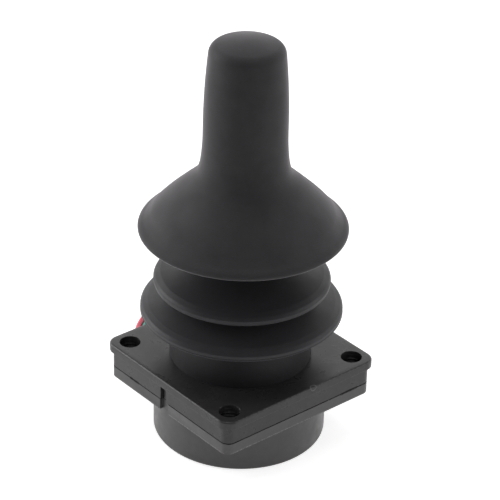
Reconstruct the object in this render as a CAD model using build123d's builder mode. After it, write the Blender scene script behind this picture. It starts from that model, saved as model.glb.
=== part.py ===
from build123d import *
import math
import os

# Two-axis joystick controller with a mushroom knob, a bellows boot and a square panel flange.
# Millimetres. The origin is the middle of the can's bottom face, +Z is up along the lever,
# and the wires leave towards -X.

# Fixing holes, and the square flange, walls and round can set out from them
FIX_PITCH = 36.0
FIX_D = 4.8
HOLE_EDGE = 4.2
LIP_OUT = 0.86
CAN_STEP = 1.49
PLATE_R = 3.0
BODY_R = 2.1
LIP_T = 2.0
LIP_EDGE_R = 0.45
HOUSING_H = 6.25
HOUSING_WALL = 1.7
POST_R = 4.2
FLANGE_T = 2.7
FLANGE_EDGE_R = 0.3
CAN_H = 10.85
CAN_WALL = 1.8
CAN_FLOOR = 1.4
CAN_EDGE_R = 0.8
FIT = 0.05

# Locating key and its slot, on the -Y face
KEY_X = -1.3
SLOT_W = 2.0
SLOT_H = 3.85
KEY_GAP = 0.15
KEY_T = 0.9
RECESS_X = -1.03
RECESS_W = 2.95
RECESS_DEPTH = 0.8

# Collar that carries the boot and the limit gate
COLLAR_R = 15.05
COLLAR_H = 6.2
COLLAR_WALL = 1.65
BEAD_H = 0.9
BEAD_OUT = 0.45
BEAD_Z = 3.6
BEAD_PLAY = 0.1
GATE_LAND = 0.8
GATE_T = 1.4

# Lever and its limits
TILT = 18.0
PIVOT_Z = 13.0
SHAFT_R = 3.0
GATE_CLEAR = 0.15
GATE_CORNER_R = 2.0
GATE_CHAMFER = 0.45

# Gimbal
RING_R = 11.4
RING_H = 4.6
RING_WINDOW = 13.0
RING_WINDOW_R = 1.2
RING_CHAMFER = 0.5
BLOCK_W = 9.2
BLOCK_H = 7.2
BLOCK_EDGE_R = 1.0
PIN_R = 1.2
PIN_RUN = 0.04
PIN_INSET = 0.9
BLOCK_PIN_GAP = 0.3
ROLL_PIN_R = 0.8
ROLL_PIN_BORE_R = 0.4
ROLL_PIN_SLIT = 0.25
THRUST_GAP = 0.35
EAR_T = 3.1
EAR_W = 7.2
EAR_DROP = 2.8
CARRIER_GAP = 0.45
CARRIER_T = 1.5
BOSS_H = 1.5
CARRIER_SCREW_EDGE = 2.1
CARRIER_SCREW_ANGLES = (45, 135, 225, 315)

# Small screws
SCREW_R = 1.0
SCREW_HEAD_R = 1.9
SCREW_HEAD_H = 1.4
SCREW_HEAD_EDGE_R = 0.45
SCREW_FIT = 0.05
CARRIER_SCREW_L = 4.4
HOUSING_SCREW_L = 5.2
HOUSING_SCREW_X = 12.6
HOUSING_SCREW_EDGE = 3.04
SCREW_BOSS_R = 2.3
SOCKET_R = 0.65
SOCKET_DEPTH = 0.7

# Centring spring, its cup and the clip
SPRING_LOW_R = 10.4
SPRING_TOP_R = 4.9
SPRING_WIRE_R = 0.7
SPRING_TURNS = 5
SPRING_GAP = 0.3
CUP_Z = 40.4
CUP_GAP = 0.2
CUP_T = 1.2
CUP_RIM_H = 1.2
CUP_RIM_T = 0.6
CLIP_T = 0.8
CLIP_R = 4.9
CLIP_GAP_W = 3.4
GROOVE_DEPTH = 0.6
GROOVE_PLAY = 0.1

# Magnet and sensor board
MAGNET_R = 3.0
MAGNET_T = 2.0
HOLDER_WALL = 1.45
HOLDER_H = 3.5
HOLDER_EDGE_R = 0.75
SHAFT_SEAT = 1.3
BOARD_GAP = 0.45
BOARD_T = 1.2
BOARD_Z = 2.4
BOARD_SCREW_EDGE = 3.0
BOARD_SCREW_L = 2.6
BOARD_SCREW_ANGLES = (60, 150, 300)
BOARD_BOSS_R = 2.3
BOARD_FLAT_GAP = 0.9
SENSOR_R = 6.4
SENSOR_L = 3.0
SENSOR_W = 1.6
SENSOR_T = 0.75
HEADER_SET = 1.1
HEADER_L = 5.2
HEADER_W = 6.4
HEADER_WALL = 0.6
HEADER_BACK = 1.6
BOARD_PLUG_PROUD = 1.0
CHIP_W = 5.0
CHIP_H = 0.9
CHIP_SPOT = (11.8, 2.8)
CAPACITOR_R = 1.5
CAPACITOR_H = 2.2
CAPACITOR_SPOT = (12.6, -3.0)

# Knob, its heights counted from the widest line of its skirt
SKIRT_R = 23.5
SKIRT_Z = 52.0
RIM_EDGE_W = 0.6
RIM_EDGE_H = 0.75
RIM_W = 2.2
BELL_IN = 2.0
BELL_H = 2.65
CONE_LOW_IN = 5.3
CONE_LOW_H = 6.5
CONE_ANGLE = 43.8
NECK_OUT = 1.66
NECK_DROP = 11.6
FOOT_OUT = 0.51
FOOT_DROP = 9.7
DRAFT_OUT = 0.11
DRAFT_DROP = 5.5
STEM_R = 9.34
STEM_H = 25.0
STEM_TOP_IN = 1.04
CROWN_R = 25.2
CROWN_H = 45.4
SHOULDER_R = 2.4
SKIRT_WALL = 2.6
SKIRT_WALL_DROP = 1.3
ROOF_DROP = 4.4
CORE_FOOT_WALL = 2.6
CORE_FOOT_H = 18.0
CORE_FOOT_DROP = 6.0
CORE_WALL = 4.14
CORE_TOP_DROP = 9.4
INSERT_WALL = 1.4
INSERT_SET = 5.0
INSERT_H = 11.0
INSERT_GROOVE_H = 1.6
INSERT_GROOVE_DEPTH = 0.5
THREAD_GAP = 1.5
SHAFT_CHAMFER = 0.35

# Boot, its folds set out from the plate
BOOT_WALL = 1.1
BOOT_GAP = 0.1
NECK_H = 9.4
NECK_ROUND = 1.2
FOLD_LOW_OUT = 6.68
FOLD_LOW_H = 11.25
FOLD_HIGH_OUT = 3.72
FOLD_HIGH_H = 18.5
RIM_H = 2.1
RIM_ROUND = 0.35
VALLEY_IN = 2.35
VALLEY_H = 16.5
VALLEY_WALL = 2.0
VALLEY_ROUND = 0.7
BOOT_SHOULDER_H = 24.7
BOOT_SLEEVE_H = 4.0
SOFT_GAP = 0.3

# Grommet, wires, coil, tie and plug
WIRE_R = 0.65
WIRE_PITCH = 1.5
WIRE_Z = 6.0
ARC_SHARE = 0.45
GROMMET_R = 3.0
GROMMET_LIP_R = 4.2
GROMMET_LIP_T = 1.35
GROMMET_NOSE_L = 4.8
GROMMET_TIP_R = 2.5
GROMMET_FLANGE_R = 3.6
GROMMET_FLANGE_T = 0.9
GROMMET_SEAT = 0.35
COIL_X = -44.0
COIL_Y = 38.0
COIL_R = 7.25
COIL_ROUND = 0.6
TIE_W = 2.4
TIE_T = 0.5
TIE_HEAD_L = 3.4
TIE_HEAD_H = 3.0
TIE_HEAD_T = 2.2
PLUG_PITCH = 2.0
PLUG_W = 6.6
PLUG_H = 6.2
PLUG_L = 10.5
PLUG_X = -36.2
PLUG_Y = 26.6
PLUG_ROUND = 0.4
CAVITY_W = 1.5
CAVITY_L = 8.0
CONTACT_W = 1.2
CONTACT_L = 6.0
CONTACT_WALL = 0.25
LATCH_W = 2.4
LATCH_L = 7.0
LATCH_T = 0.8
LATCH_GAP = 0.7
LATCH_ROOT_L = 1.6

# Worked out from the sizes above
plate_w = FIX_PITCH + 2 * HOLE_EDGE
body_w = plate_w - 2 * LIP_OUT
cavity_w = body_w - 2 * HOUSING_WALL
can_r = body_w / 2 - CAN_STEP
can_bore_r = can_r - CAN_WALL
parting_z = CAN_H + FLANGE_T
plate_z = parting_z + HOUSING_H
ceiling_z = plate_z - LIP_T
collar_z = plate_z + COLLAR_H
collar_bore_r = COLLAR_R - COLLAR_WALL
gate_r = collar_bore_r + GATE_LAND
gate_z = collar_z - GATE_T
carrier_z = ceiling_z - BOSS_H
carrier_r = can_bore_r - CARRIER_GAP
carrier_screw_r = carrier_r - CARRIER_SCREW_EDGE
board_r = can_bore_r - BOARD_GAP
board_screw_r = board_r - BOARD_SCREW_EDGE
board_top_z = BOARD_Z + BOARD_T
lean = math.radians(TILT)
lean_reach = (collar_z - PIVOT_Z) * math.tan(lean) / math.cos(lean)
gate_half = lean_reach + SHAFT_R / math.cos(lean) ** 2 + GATE_CLEAR
holder_r = MAGNET_R + FIT + HOLDER_WALL
holder_top_z = PIVOT_Z - BLOCK_H / 2
holder_z = holder_top_z - HOLDER_H
shaft_z = holder_top_z - SHAFT_SEAT
clip_z = CUP_Z + CUP_T + GROOVE_PLAY / 2
cup_r = SPRING_TOP_R + SPRING_WIRE_R + CUP_GAP + CUP_RIM_T
rim_r = SKIRT_R - RIM_EDGE_W
rim_z = SKIRT_Z - RIM_EDGE_H
stem_z = SKIRT_Z + STEM_H
knob_top_z = SKIRT_Z + CROWN_H
insert_r = SHAFT_R + INSERT_WALL
core_foot_r = insert_r + CORE_FOOT_WALL
core_r = STEM_R - CORE_WALL
core_foot_z = SKIRT_Z - CORE_FOOT_DROP
core_neck_z = core_foot_z + CORE_FOOT_H
core_top_z = knob_top_z - CORE_TOP_DROP
insert_z = core_foot_z + INSERT_SET
shaft_top_z = insert_z + INSERT_H - THREAD_GAP
neck_r = COLLAR_R + BOOT_GAP + BOOT_WALL
sleeve_r = core_foot_r + SOFT_GAP
grommet_x = -can_bore_r + GROMMET_SEAT
lip_x = -can_r - GROMMET_LIP_T
exit_x = lip_x - GROMMET_NOSE_L
flat_x = grommet_x + GROMMET_FLANGE_T + BOARD_FLAT_GAP
header_h = 2 * (WIRE_Z - board_top_z)
header_out_x = flat_x + HEADER_SET
plug_out_x = header_out_x - BOARD_PLUG_PROUD
plug_in_x = header_out_x + HEADER_L - HEADER_BACK
coil_low_z = TIE_T
coil_high_z = coil_low_z + 2 * WIRE_R + 3 * WIRE_PITCH
coil_half_w = WIRE_R + WIRE_PITCH / 2
fix_spots = GridLocations(FIX_PITCH, FIX_PITCH, 2, 2)
housing_screw_y = body_w / 2 - HOUSING_SCREW_EDGE
housing_spots = [(x * HOUSING_SCREW_X, y * housing_screw_y) for x in (-1, 1) for y in (-1, 1)]
carrier_spots = [Vector(carrier_screw_r, 0).rotate(Axis.Z, a) for a in CARRIER_SCREW_ANGLES]
board_spots = [Vector(board_screw_r, 0).rotate(Axis.Z, a) for a in BOARD_SCREW_ANGLES]


def cylinder_up(radius, low, high, mode=Mode.ADD):
    """An upright cylinder on the lever's axis, from one height to another."""
    with BuildSketch(Plane.XY.offset(low)) as disc:
        Circle(radius)
    extrude(disc.sketch, amount=high - low, mode=mode)


def pan_screw(head_plane, length, spots):
    """Pan-head screws with a hexagon socket, heads standing out along the plane's normal."""
    with BuildPart() as screws:
        with BuildSketch(head_plane):
            with Locations(*spots):
                Circle(SCREW_HEAD_R)
        extrude(amount=SCREW_HEAD_H)
        fillet(screws.edges().group_by(Axis((0, 0, 0), head_plane.z_dir))[-1], SCREW_HEAD_EDGE_R)
        with BuildSketch(head_plane):
            with Locations(*spots):
                Circle(SCREW_R)
        extrude(amount=-length)
        with BuildSketch(head_plane.offset(SCREW_HEAD_H)):
            with Locations(*spots):
                RegularPolygon(SOCKET_R, 6)
        extrude(amount=-SOCKET_DEPTH, mode=Mode.SUBTRACT)
    return screws.part


# Upper housing: square flange with a lip, side walls, four fixing posts and the boot collar
with BuildPart() as top_housing:
    with BuildSketch(Plane.XY.offset(parting_z)):
        RectangleRounded(body_w, body_w, BODY_R)
    extrude(amount=HOUSING_H)
    with BuildSketch(Plane.XY.offset(ceiling_z)):
        RectangleRounded(plate_w, plate_w, PLATE_R)
    extrude(amount=LIP_T)
    fillet(top_housing.faces().sort_by(Axis.Z)[-1].edges(), LIP_EDGE_R)
    with BuildSketch(Plane.XY.offset(parting_z)):
        RectangleRounded(cavity_w, cavity_w, BODY_R)
        with fix_spots:
            Circle(POST_R, mode=Mode.SUBTRACT)
        with Locations(*housing_spots):
            Circle(SCREW_BOSS_R, mode=Mode.SUBTRACT)
    extrude(amount=ceiling_z - parting_z, mode=Mode.SUBTRACT)
    with BuildSketch(Plane.XY.offset(carrier_z)):
        with Locations(*carrier_spots):
            Circle(SCREW_BOSS_R)
    extrude(amount=BOSS_H)
    cylinder_up(COLLAR_R, plate_z, collar_z)
    cylinder_up(COLLAR_R + BEAD_OUT, plate_z + BEAD_Z, plate_z + BEAD_Z + BEAD_H)
    cylinder_up(collar_bore_r, carrier_z, collar_z, Mode.SUBTRACT)
    cylinder_up(gate_r, gate_z, collar_z, Mode.SUBTRACT)
    with fix_spots:
        Hole(FIX_D / 2)
    with BuildSketch(Plane.XY.offset(carrier_z)):
        with Locations(*carrier_spots):
            Circle(SCREW_R)
    extrude(amount=CARRIER_SCREW_L - CARRIER_T, mode=Mode.SUBTRACT)
    with BuildSketch(Plane.XY.offset(parting_z)):
        with Locations(*housing_spots):
            Circle(SCREW_R)
    extrude(amount=HOUSING_SCREW_L - FLANGE_T + SCREW_HEAD_H, mode=Mode.SUBTRACT)
    with BuildSketch(Plane.XY.offset(parting_z)):
        with Locations((KEY_X, -body_w / 2)):
            Rectangle(SLOT_W, 2 * HOUSING_WALL)
    extrude(amount=SLOT_H, mode=Mode.SUBTRACT)
top_housing.part.label = "top_housing"

# Lower housing: the round can with its square flange, locating key and board bosses
with BuildPart() as lower_housing:
    cylinder_up(can_r, 0, parting_z)
    fillet(lower_housing.faces().sort_by(Axis.Z)[0].edges(), CAN_EDGE_R)
    with BuildSketch(Plane.XY.offset(CAN_H)):
        RectangleRounded(body_w, body_w, BODY_R)
    extrude(amount=FLANGE_T)
    cylinder_up(can_bore_r, CAN_FLOOR, parting_z, Mode.SUBTRACT)
    with BuildSketch(Plane.XY.offset(CAN_FLOOR)):
        with Locations(*board_spots):
            Circle(BOARD_BOSS_R)
    extrude(amount=BOARD_Z - CAN_FLOOR)
    with BuildSketch(Plane.XY.offset(BOARD_Z)):
        with Locations(*board_spots):
            Circle(SCREW_R)
    extrude(amount=BOARD_T - BOARD_SCREW_L, mode=Mode.SUBTRACT)
    with BuildSketch(Plane.XY.offset(CAN_H)):
        with fix_spots:
            Circle(FIX_D / 2)
        with Locations(*housing_spots):
            Circle(SCREW_R)
    extrude(amount=FLANGE_T, mode=Mode.SUBTRACT)
    with BuildSketch(Plane.XY.offset(CAN_H)):
        with Locations(*housing_spots):
            Circle(SCREW_HEAD_R + SCREW_FIT)
    extrude(amount=SCREW_HEAD_H, mode=Mode.SUBTRACT)
    with BuildSketch(Plane.XY.offset(CAN_H)):
        with Locations((RECESS_X, -body_w / 2)):
            Rectangle(RECESS_W, 2 * RECESS_DEPTH)
    extrude(amount=FLANGE_T, mode=Mode.SUBTRACT)
    with BuildSketch(Plane.XY.offset(parting_z)):
        with Locations((KEY_X, -body_w / 2 + RECESS_DEPTH)):
            Rectangle(SLOT_W - 2 * KEY_GAP, KEY_T, align=(Align.CENTER, Align.MIN))
    extrude(amount=SLOT_H - KEY_GAP)
    with BuildSketch(Plane.YZ.offset(-can_r)):
        with Locations((0, WIRE_Z)):
            Circle(GROMMET_R + FIT)
    extrude(amount=2 * CAN_WALL, both=True, mode=Mode.SUBTRACT)
lower_housing.part.label = "lower_housing"

housing_screws = pan_screw(
    Plane.XY.offset(CAN_H + SCREW_HEAD_H).rotated((180, 0, 0)), HOUSING_SCREW_L, housing_spots
)
housing_screws.label = "housing_screws"

# Limit gate: a disc with a square window that stops the lever at full tilt
with BuildPart() as gate_plate:
    with BuildSketch(Plane.XY.offset(gate_z)):
        Circle(gate_r - FIT)
        RectangleRounded(2 * gate_half, 2 * gate_half, GATE_CORNER_R, mode=Mode.SUBTRACT)
    extrude(amount=GATE_T)
    chamfer(gate_plate.edges().filter_by(GeomType.LINE).group_by(Axis.Z)[0], GATE_CHAMFER)
gate_plate.part.label = "gate_plate"

# Carrier: a ring screwed under the plate, with two ears that hold the gimbal's outer pins
with BuildPart() as gimbal_carrier:
    with BuildSketch(Plane.XY.offset(carrier_z - CARRIER_T)):
        Circle(carrier_r)
        Circle(collar_bore_r, mode=Mode.SUBTRACT)
    extrude(amount=CARRIER_T)
    with BuildSketch(Plane.YZ):
        with Locations((0, PIVOT_Z)):
            Circle(EAR_W / 2)
        with Locations((0, PIVOT_Z)):
            Rectangle(EAR_W, carrier_z - PIVOT_Z, align=(Align.CENTER, Align.MIN))
    ear = extrude(amount=EAR_T, mode=Mode.PRIVATE)
    ear_x = RING_R + THRUST_GAP
    add(ear.moved(Location((ear_x, 0, 0))))
    add(ear.moved(Location((-ear_x - EAR_T, 0, 0))))
    with BuildSketch(Plane.YZ):
        with Locations((0, PIVOT_Z)):
            Circle(PIN_R + PIN_RUN)
    extrude(amount=carrier_r, both=True, mode=Mode.SUBTRACT)
    with BuildSketch(Plane.XY.offset(carrier_z)):
        with Locations(*carrier_spots):
            Circle(SCREW_R + SCREW_FIT)
    extrude(amount=-CARRIER_T, mode=Mode.SUBTRACT)
gimbal_carrier.part.label = "gimbal_carrier"

carrier_screws = pan_screw(
    Plane.XY.offset(carrier_z - CARRIER_T).rotated((180, 0, 0)), CARRIER_SCREW_L, carrier_spots
)
carrier_screws.label = "carrier_screws"

# Gimbal ring: turns about X in the carrier, and carries the lever's block about Y
with BuildPart() as gimbal_ring:
    with BuildSketch(Plane.XY.offset(PIVOT_Z - RING_H / 2)):
        Circle(RING_R)
        RectangleRounded(RING_WINDOW, RING_WINDOW, RING_WINDOW_R, mode=Mode.SUBTRACT)
    extrude(amount=RING_H)
    rounds = gimbal_ring.edges().filter_by(GeomType.CIRCLE)
    chamfer(rounds.filter_by(lambda e: e.radius > RING_WINDOW_R), RING_CHAMFER)
    with BuildSketch(Plane.YZ):
        with Locations((0, PIVOT_Z)):
            Circle(PIN_R)
    extrude(amount=RING_R, both=True, mode=Mode.SUBTRACT)
    with BuildSketch(Plane.XZ):
        with Locations((0, PIVOT_Z)):
            Circle(PIN_R + PIN_RUN)
    extrude(amount=RING_R, both=True, mode=Mode.SUBTRACT)
gimbal_ring.part.label = "gimbal_ring"

with BuildPart() as ring_pins:
    ring_pin_in = RING_WINDOW / 2 + PIN_INSET
    pin_length = RING_R + THRUST_GAP + EAR_T - ring_pin_in
    for side in (1, -1):
        with BuildSketch(Plane.YZ.offset(side * ring_pin_in)):
            with Locations((0, PIVOT_Z)):
                Circle(PIN_R)
        extrude(amount=side * pin_length)
ring_pins.part.label = "ring_pins"

with BuildPart() as pivot_block:
    with BuildSketch(Plane.XY.offset(PIVOT_Z - BLOCK_H / 2)):
        Rectangle(BLOCK_W, BLOCK_W)
        Circle(SHAFT_R + FIT / 2, mode=Mode.SUBTRACT)
    extrude(amount=BLOCK_H)
    fillet(pivot_block.edges().filter_by(Axis.Z).filter_by(GeomType.LINE), BLOCK_EDGE_R)
    with BuildSketch(Plane.XZ):
        with Locations((0, PIVOT_Z)):
            Circle(PIN_R)
    extrude(amount=BLOCK_W, both=True, mode=Mode.SUBTRACT)
    with BuildSketch(Plane.YZ):
        with Locations((0, PIVOT_Z)):
            Circle(ROLL_PIN_R)
    extrude(amount=BLOCK_W, both=True, mode=Mode.SUBTRACT)
pivot_block.part.label = "pivot_block"

block_pin_in = SHAFT_R + BLOCK_PIN_GAP
with BuildPart() as block_pins:
    for side in (1, -1):
        with BuildSketch(Plane.XZ.offset(side * block_pin_in)):
            with Locations((0, PIVOT_Z)):
                Circle(PIN_R)
        extrude(amount=side * (RING_R - block_pin_in - FIT))
block_pins.part.label = "block_pins"

with BuildPart() as roll_pin:
    with BuildSketch(Plane.YZ):
        with Locations((0, PIVOT_Z)):
            Circle(ROLL_PIN_R)
            Circle(ROLL_PIN_BORE_R, mode=Mode.SUBTRACT)
            Rectangle(ROLL_PIN_SLIT, ROLL_PIN_R, align=(Align.CENTER, Align.MIN), mode=Mode.SUBTRACT)
    extrude(amount=BLOCK_W / 2, both=True)
roll_pin.part.label = "roll_pin"

# Lever shaft: steel rod with a clip groove, a cross hole and a threaded upper end
with BuildPart() as lever_shaft:
    cylinder_up(SHAFT_R, shaft_z, shaft_top_z)
    chamfer(lever_shaft.faces().sort_by(Axis.Z)[-1].edges(), SHAFT_CHAMFER)
    with BuildSketch(Plane.XY.offset(clip_z - GROOVE_PLAY / 2)):
        Circle(SHAFT_R)
        Circle(SHAFT_R - GROOVE_DEPTH, mode=Mode.SUBTRACT)
    extrude(amount=CLIP_T + GROOVE_PLAY, mode=Mode.SUBTRACT)
    with BuildSketch(Plane.YZ):
        with Locations((0, PIVOT_Z)):
            Circle(ROLL_PIN_R)
    extrude(amount=SHAFT_R, both=True, mode=Mode.SUBTRACT)
lever_shaft.part.label = "lever_shaft"

# Magnet cup on the shaft's lower end, and its magnet
with BuildPart() as magnet_holder:
    cylinder_up(holder_r, holder_z, holder_top_z)
    fillet(magnet_holder.faces().sort_by(Axis.Z)[0].edges(), HOLDER_EDGE_R)
    cylinder_up(MAGNET_R + FIT, holder_z, holder_z + MAGNET_T, Mode.SUBTRACT)
    cylinder_up(SHAFT_R + FIT / 2, shaft_z, holder_top_z, Mode.SUBTRACT)
magnet_holder.part.label = "magnet_holder"

with BuildPart() as magnet:
    cylinder_up(MAGNET_R, holder_z, holder_z + MAGNET_T)
magnet.part.label = "magnet"

# Spring cup, clip and the conical centring spring, which stands on the gate and bends with the lever
with BuildPart() as spring_cup:
    cylinder_up(cup_r, CUP_Z, CUP_Z + CUP_T)
    with BuildSketch(Plane.XY.offset(CUP_Z)):
        Circle(cup_r)
        Circle(cup_r - CUP_RIM_T, mode=Mode.SUBTRACT)
    extrude(amount=-CUP_RIM_H)
    cylinder_up(SHAFT_R + FIT, CUP_Z, CUP_Z + CUP_T, Mode.SUBTRACT)
spring_cup.part.label = "spring_cup"

with BuildPart() as retaining_ring:
    with BuildSketch(Plane.XY.offset(clip_z)):
        Circle(CLIP_R)
        Circle(SHAFT_R - GROOVE_DEPTH + FIT, mode=Mode.SUBTRACT)
        with Locations((CLIP_R, 0)):
            Rectangle(2 * CLIP_R, CLIP_GAP_W, mode=Mode.SUBTRACT)
    extrude(amount=CLIP_T)
retaining_ring.part.label = "retaining_ring"

spring_low_z = collar_z + SPRING_WIRE_R
spring_high_z = CUP_Z - SPRING_GAP - SPRING_WIRE_R
spring_rise = spring_high_z - spring_low_z
spring_slope = math.degrees(math.atan((SPRING_TOP_R - SPRING_LOW_R) / spring_rise))
with BuildPart() as centring_spring:
    with BuildLine(Plane.XY.offset(spring_low_z)) as coil_line:
        Helix(spring_rise / SPRING_TURNS, spring_rise, SPRING_LOW_R, cone_angle=spring_slope)
    with BuildSketch(Plane(origin=coil_line.line @ 0, z_dir=coil_line.line % 0)):
        Circle(SPRING_WIRE_R)
    sweep(path=coil_line.line, is_frenet=True)
centring_spring.part.label = "centring_spring"

# Boot: one rubber shell with two disc-shaped folds above a plain neck, gripping the collar's bead
fold_low_r = neck_r + FOLD_LOW_OUT
fold_high_r = neck_r + FOLD_HIGH_OUT
valley_r = neck_r - VALLEY_IN
shoulder_z = plate_z + BOOT_SHOULDER_H
with BuildPart() as boot:
    with BuildSketch(Plane.XZ):
        with BuildLine():
            outside = FilletPolyline(
                (neck_r, plate_z), (neck_r, plate_z + NECK_H), (fold_low_r, plate_z + FOLD_LOW_H),
                (fold_low_r, plate_z + FOLD_LOW_H + RIM_H), (valley_r, plate_z + VALLEY_H),
                (fold_high_r, plate_z + FOLD_HIGH_H), (fold_high_r, plate_z + FOLD_HIGH_H + RIM_H),
                (sleeve_r + BOOT_WALL, shoulder_z), (sleeve_r + BOOT_WALL, shoulder_z + BOOT_SLEEVE_H),
                radius=(NECK_ROUND, RIM_ROUND, RIM_ROUND, VALLEY_ROUND, RIM_ROUND, RIM_ROUND, NECK_ROUND),
            )
            inside_line = Polyline(
                (sleeve_r, shoulder_z + BOOT_SLEEVE_H), (sleeve_r, shoulder_z - BOOT_WALL),
                (fold_high_r - BOOT_WALL, plate_z + FOLD_HIGH_H + RIM_H / 2),
                (valley_r - VALLEY_WALL, plate_z + VALLEY_H),
                (fold_low_r - BOOT_WALL, plate_z + FOLD_LOW_H + RIM_H / 2),
                (neck_r - BOOT_WALL, plate_z + NECK_H + BOOT_WALL), (neck_r - BOOT_WALL, plate_z),
            )
            Line(outside @ 1, inside_line @ 0)
            Line(inside_line @ 1, outside @ 0)
        make_face()
    revolve(axis=Axis.Z)
    groove_low = plate_z + BEAD_Z - BEAD_PLAY
    groove_high = groove_low + BEAD_H + 2 * BEAD_PLAY
    cylinder_up(COLLAR_R + BEAD_OUT + BEAD_PLAY, groove_low, groove_high, Mode.SUBTRACT)
boot.part.label = "boot"

# Knob: soft rubber moulded over a stiff core, hollow under its skirt
crown_angle = math.degrees(math.acos((STEM_R - STEM_TOP_IN) / CROWN_R))
cone_low = Vector(SKIRT_R - CONE_LOW_IN, SKIRT_Z + CONE_LOW_H)
cone_top_r = STEM_R + NECK_OUT
cone_top = Vector(cone_top_r, cone_low.Y + (cone_low.X - cone_top_r) * math.tan(math.radians(CONE_ANGLE)))
roof = Vector(cone_top_r, cone_top.Y - ROOF_DROP)
with BuildPart() as knob:
    with BuildSketch(Plane.XZ):
        with BuildLine():
            rim = Line((rim_r - RIM_W, rim_z), (rim_r, rim_z))
            TangentArc(rim @ 1, (SKIRT_R, SKIRT_Z), tangent=rim % 1)
            bell = ThreePointArc((SKIRT_R, SKIRT_Z), (SKIRT_R - BELL_IN, SKIRT_Z + BELL_H), cone_low)
            cone = Line(cone_low, cone_top)
            foot = (STEM_R + FOOT_OUT, stem_z - FOOT_DROP)
            stem = Line((STEM_R + DRAFT_OUT, stem_z - DRAFT_DROP), (STEM_R, stem_z))
            Spline(cone_top, foot, stem @ 0, tangents=(cone % 1, stem % 0))
            crown = CenterArc((0, knob_top_z - CROWN_R), CROWN_R, crown_angle, 90 - crown_angle)
            TangentArc(stem @ 1, crown @ 0, tangent=stem % 1)
            Polyline(
                (0, knob_top_z), (0, core_top_z), (core_r, core_top_z), (core_r, core_neck_z),
                (core_foot_r, core_neck_z), (core_foot_r, roof.Y), roof,
            )
            under = (bell @ 0.5) - Vector(SKIRT_WALL, SKIRT_WALL_DROP)
            Polyline(roof, under, rim @ 0)
        profile = make_face()
        fillet(profile.vertices().sort_by_distance((STEM_R, knob_top_z, 0))[0], SHOULDER_R)
    revolve(axis=Axis.Z)
knob.part.label = "knob"

with BuildPart() as knob_core:
    cylinder_up(core_foot_r, core_foot_z, core_neck_z)
    cylinder_up(core_r, core_neck_z, core_top_z)
    cylinder_up(SHAFT_R + FIT / 2, core_foot_z, insert_z, Mode.SUBTRACT)
    cylinder_up(insert_r, insert_z, insert_z + INSERT_H, Mode.SUBTRACT)
knob_core.part.label = "knob_core"

with BuildPart() as knob_insert:
    cylinder_up(insert_r, insert_z, insert_z + INSERT_H)
    with BuildSketch(Plane.XY.offset(insert_z + (INSERT_H - INSERT_GROOVE_H) / 2)):
        Circle(insert_r)
        Circle(insert_r - INSERT_GROOVE_DEPTH, mode=Mode.SUBTRACT)
    extrude(amount=INSERT_GROOVE_H, mode=Mode.SUBTRACT)
    cylinder_up(SHAFT_R + FIT / 2, insert_z, insert_z + INSERT_H, Mode.SUBTRACT)
knob_insert.part.label = "knob_insert"

# Sensor board with four Hall sensors round the magnet, a processor, a capacitor and its header
with BuildPart() as sensor_board:
    with BuildSketch(Plane.XY.offset(BOARD_Z)):
        Circle(board_r)
        with Locations(*board_spots):
            Circle(SCREW_R + SCREW_FIT, mode=Mode.SUBTRACT)
        with Locations((flat_x, 0)):
            Rectangle(board_r, 2 * board_r, align=(Align.MAX, Align.CENTER), mode=Mode.SUBTRACT)
    extrude(amount=BOARD_T)
sensor_board.part.label = "sensor_board"

with BuildPart() as hall_sensors:
    with BuildSketch(Plane.XY.offset(board_top_z)):
        with PolarLocations(SENSOR_R, 4):
            Rectangle(SENSOR_W, SENSOR_L)
    extrude(amount=SENSOR_T)
hall_sensors.part.label = "hall_sensors"

with BuildPart() as board_chips:
    with BuildSketch(Plane.XY.offset(board_top_z)):
        with Locations(CHIP_SPOT):
            Rectangle(CHIP_W, CHIP_W)
    extrude(amount=CHIP_H)
    with BuildSketch(Plane.XY.offset(board_top_z)):
        with Locations(CAPACITOR_SPOT):
            Circle(CAPACITOR_R)
    extrude(amount=CAPACITOR_H)
board_chips.part.label = "board_chips"

board_screws = pan_screw(Plane.XY.offset(board_top_z), BOARD_SCREW_L, board_spots)
board_screws.label = "board_screws"

with BuildPart() as board_header:
    with BuildSketch(Plane.YZ.offset(header_out_x)):
        with Locations((0, WIRE_Z)):
            Rectangle(HEADER_W, header_h)
    extrude(amount=HEADER_L)
    with BuildSketch(Plane.YZ.offset(header_out_x)):
        with Locations((0, WIRE_Z)):
            Rectangle(HEADER_W - 2 * HEADER_WALL, header_h - 2 * HEADER_WALL)
    extrude(amount=HEADER_L - HEADER_BACK, mode=Mode.SUBTRACT)
board_header.part.label = "board_header"

with BuildPart() as board_plug:
    with BuildSketch(Plane.YZ.offset(plug_out_x)):
        with Locations((0, WIRE_Z)):
            Rectangle(HEADER_W - 2 * HEADER_WALL - FIT, header_h - 2 * HEADER_WALL - FIT)
    extrude(amount=plug_in_x - plug_out_x)
board_plug.part.label = "board_plug"

# Leads inside the can, from the board's plug out through the grommet
with BuildPart() as inner_leads:
    with BuildSketch(Plane.YZ.offset(exit_x)):
        with Locations((0, WIRE_Z)):
            with GridLocations(WIRE_PITCH, WIRE_PITCH, 2, 2):
                Circle(WIRE_R)
    extrude(amount=plug_out_x - exit_x)
inner_leads.part.label = "inner_leads"

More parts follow.
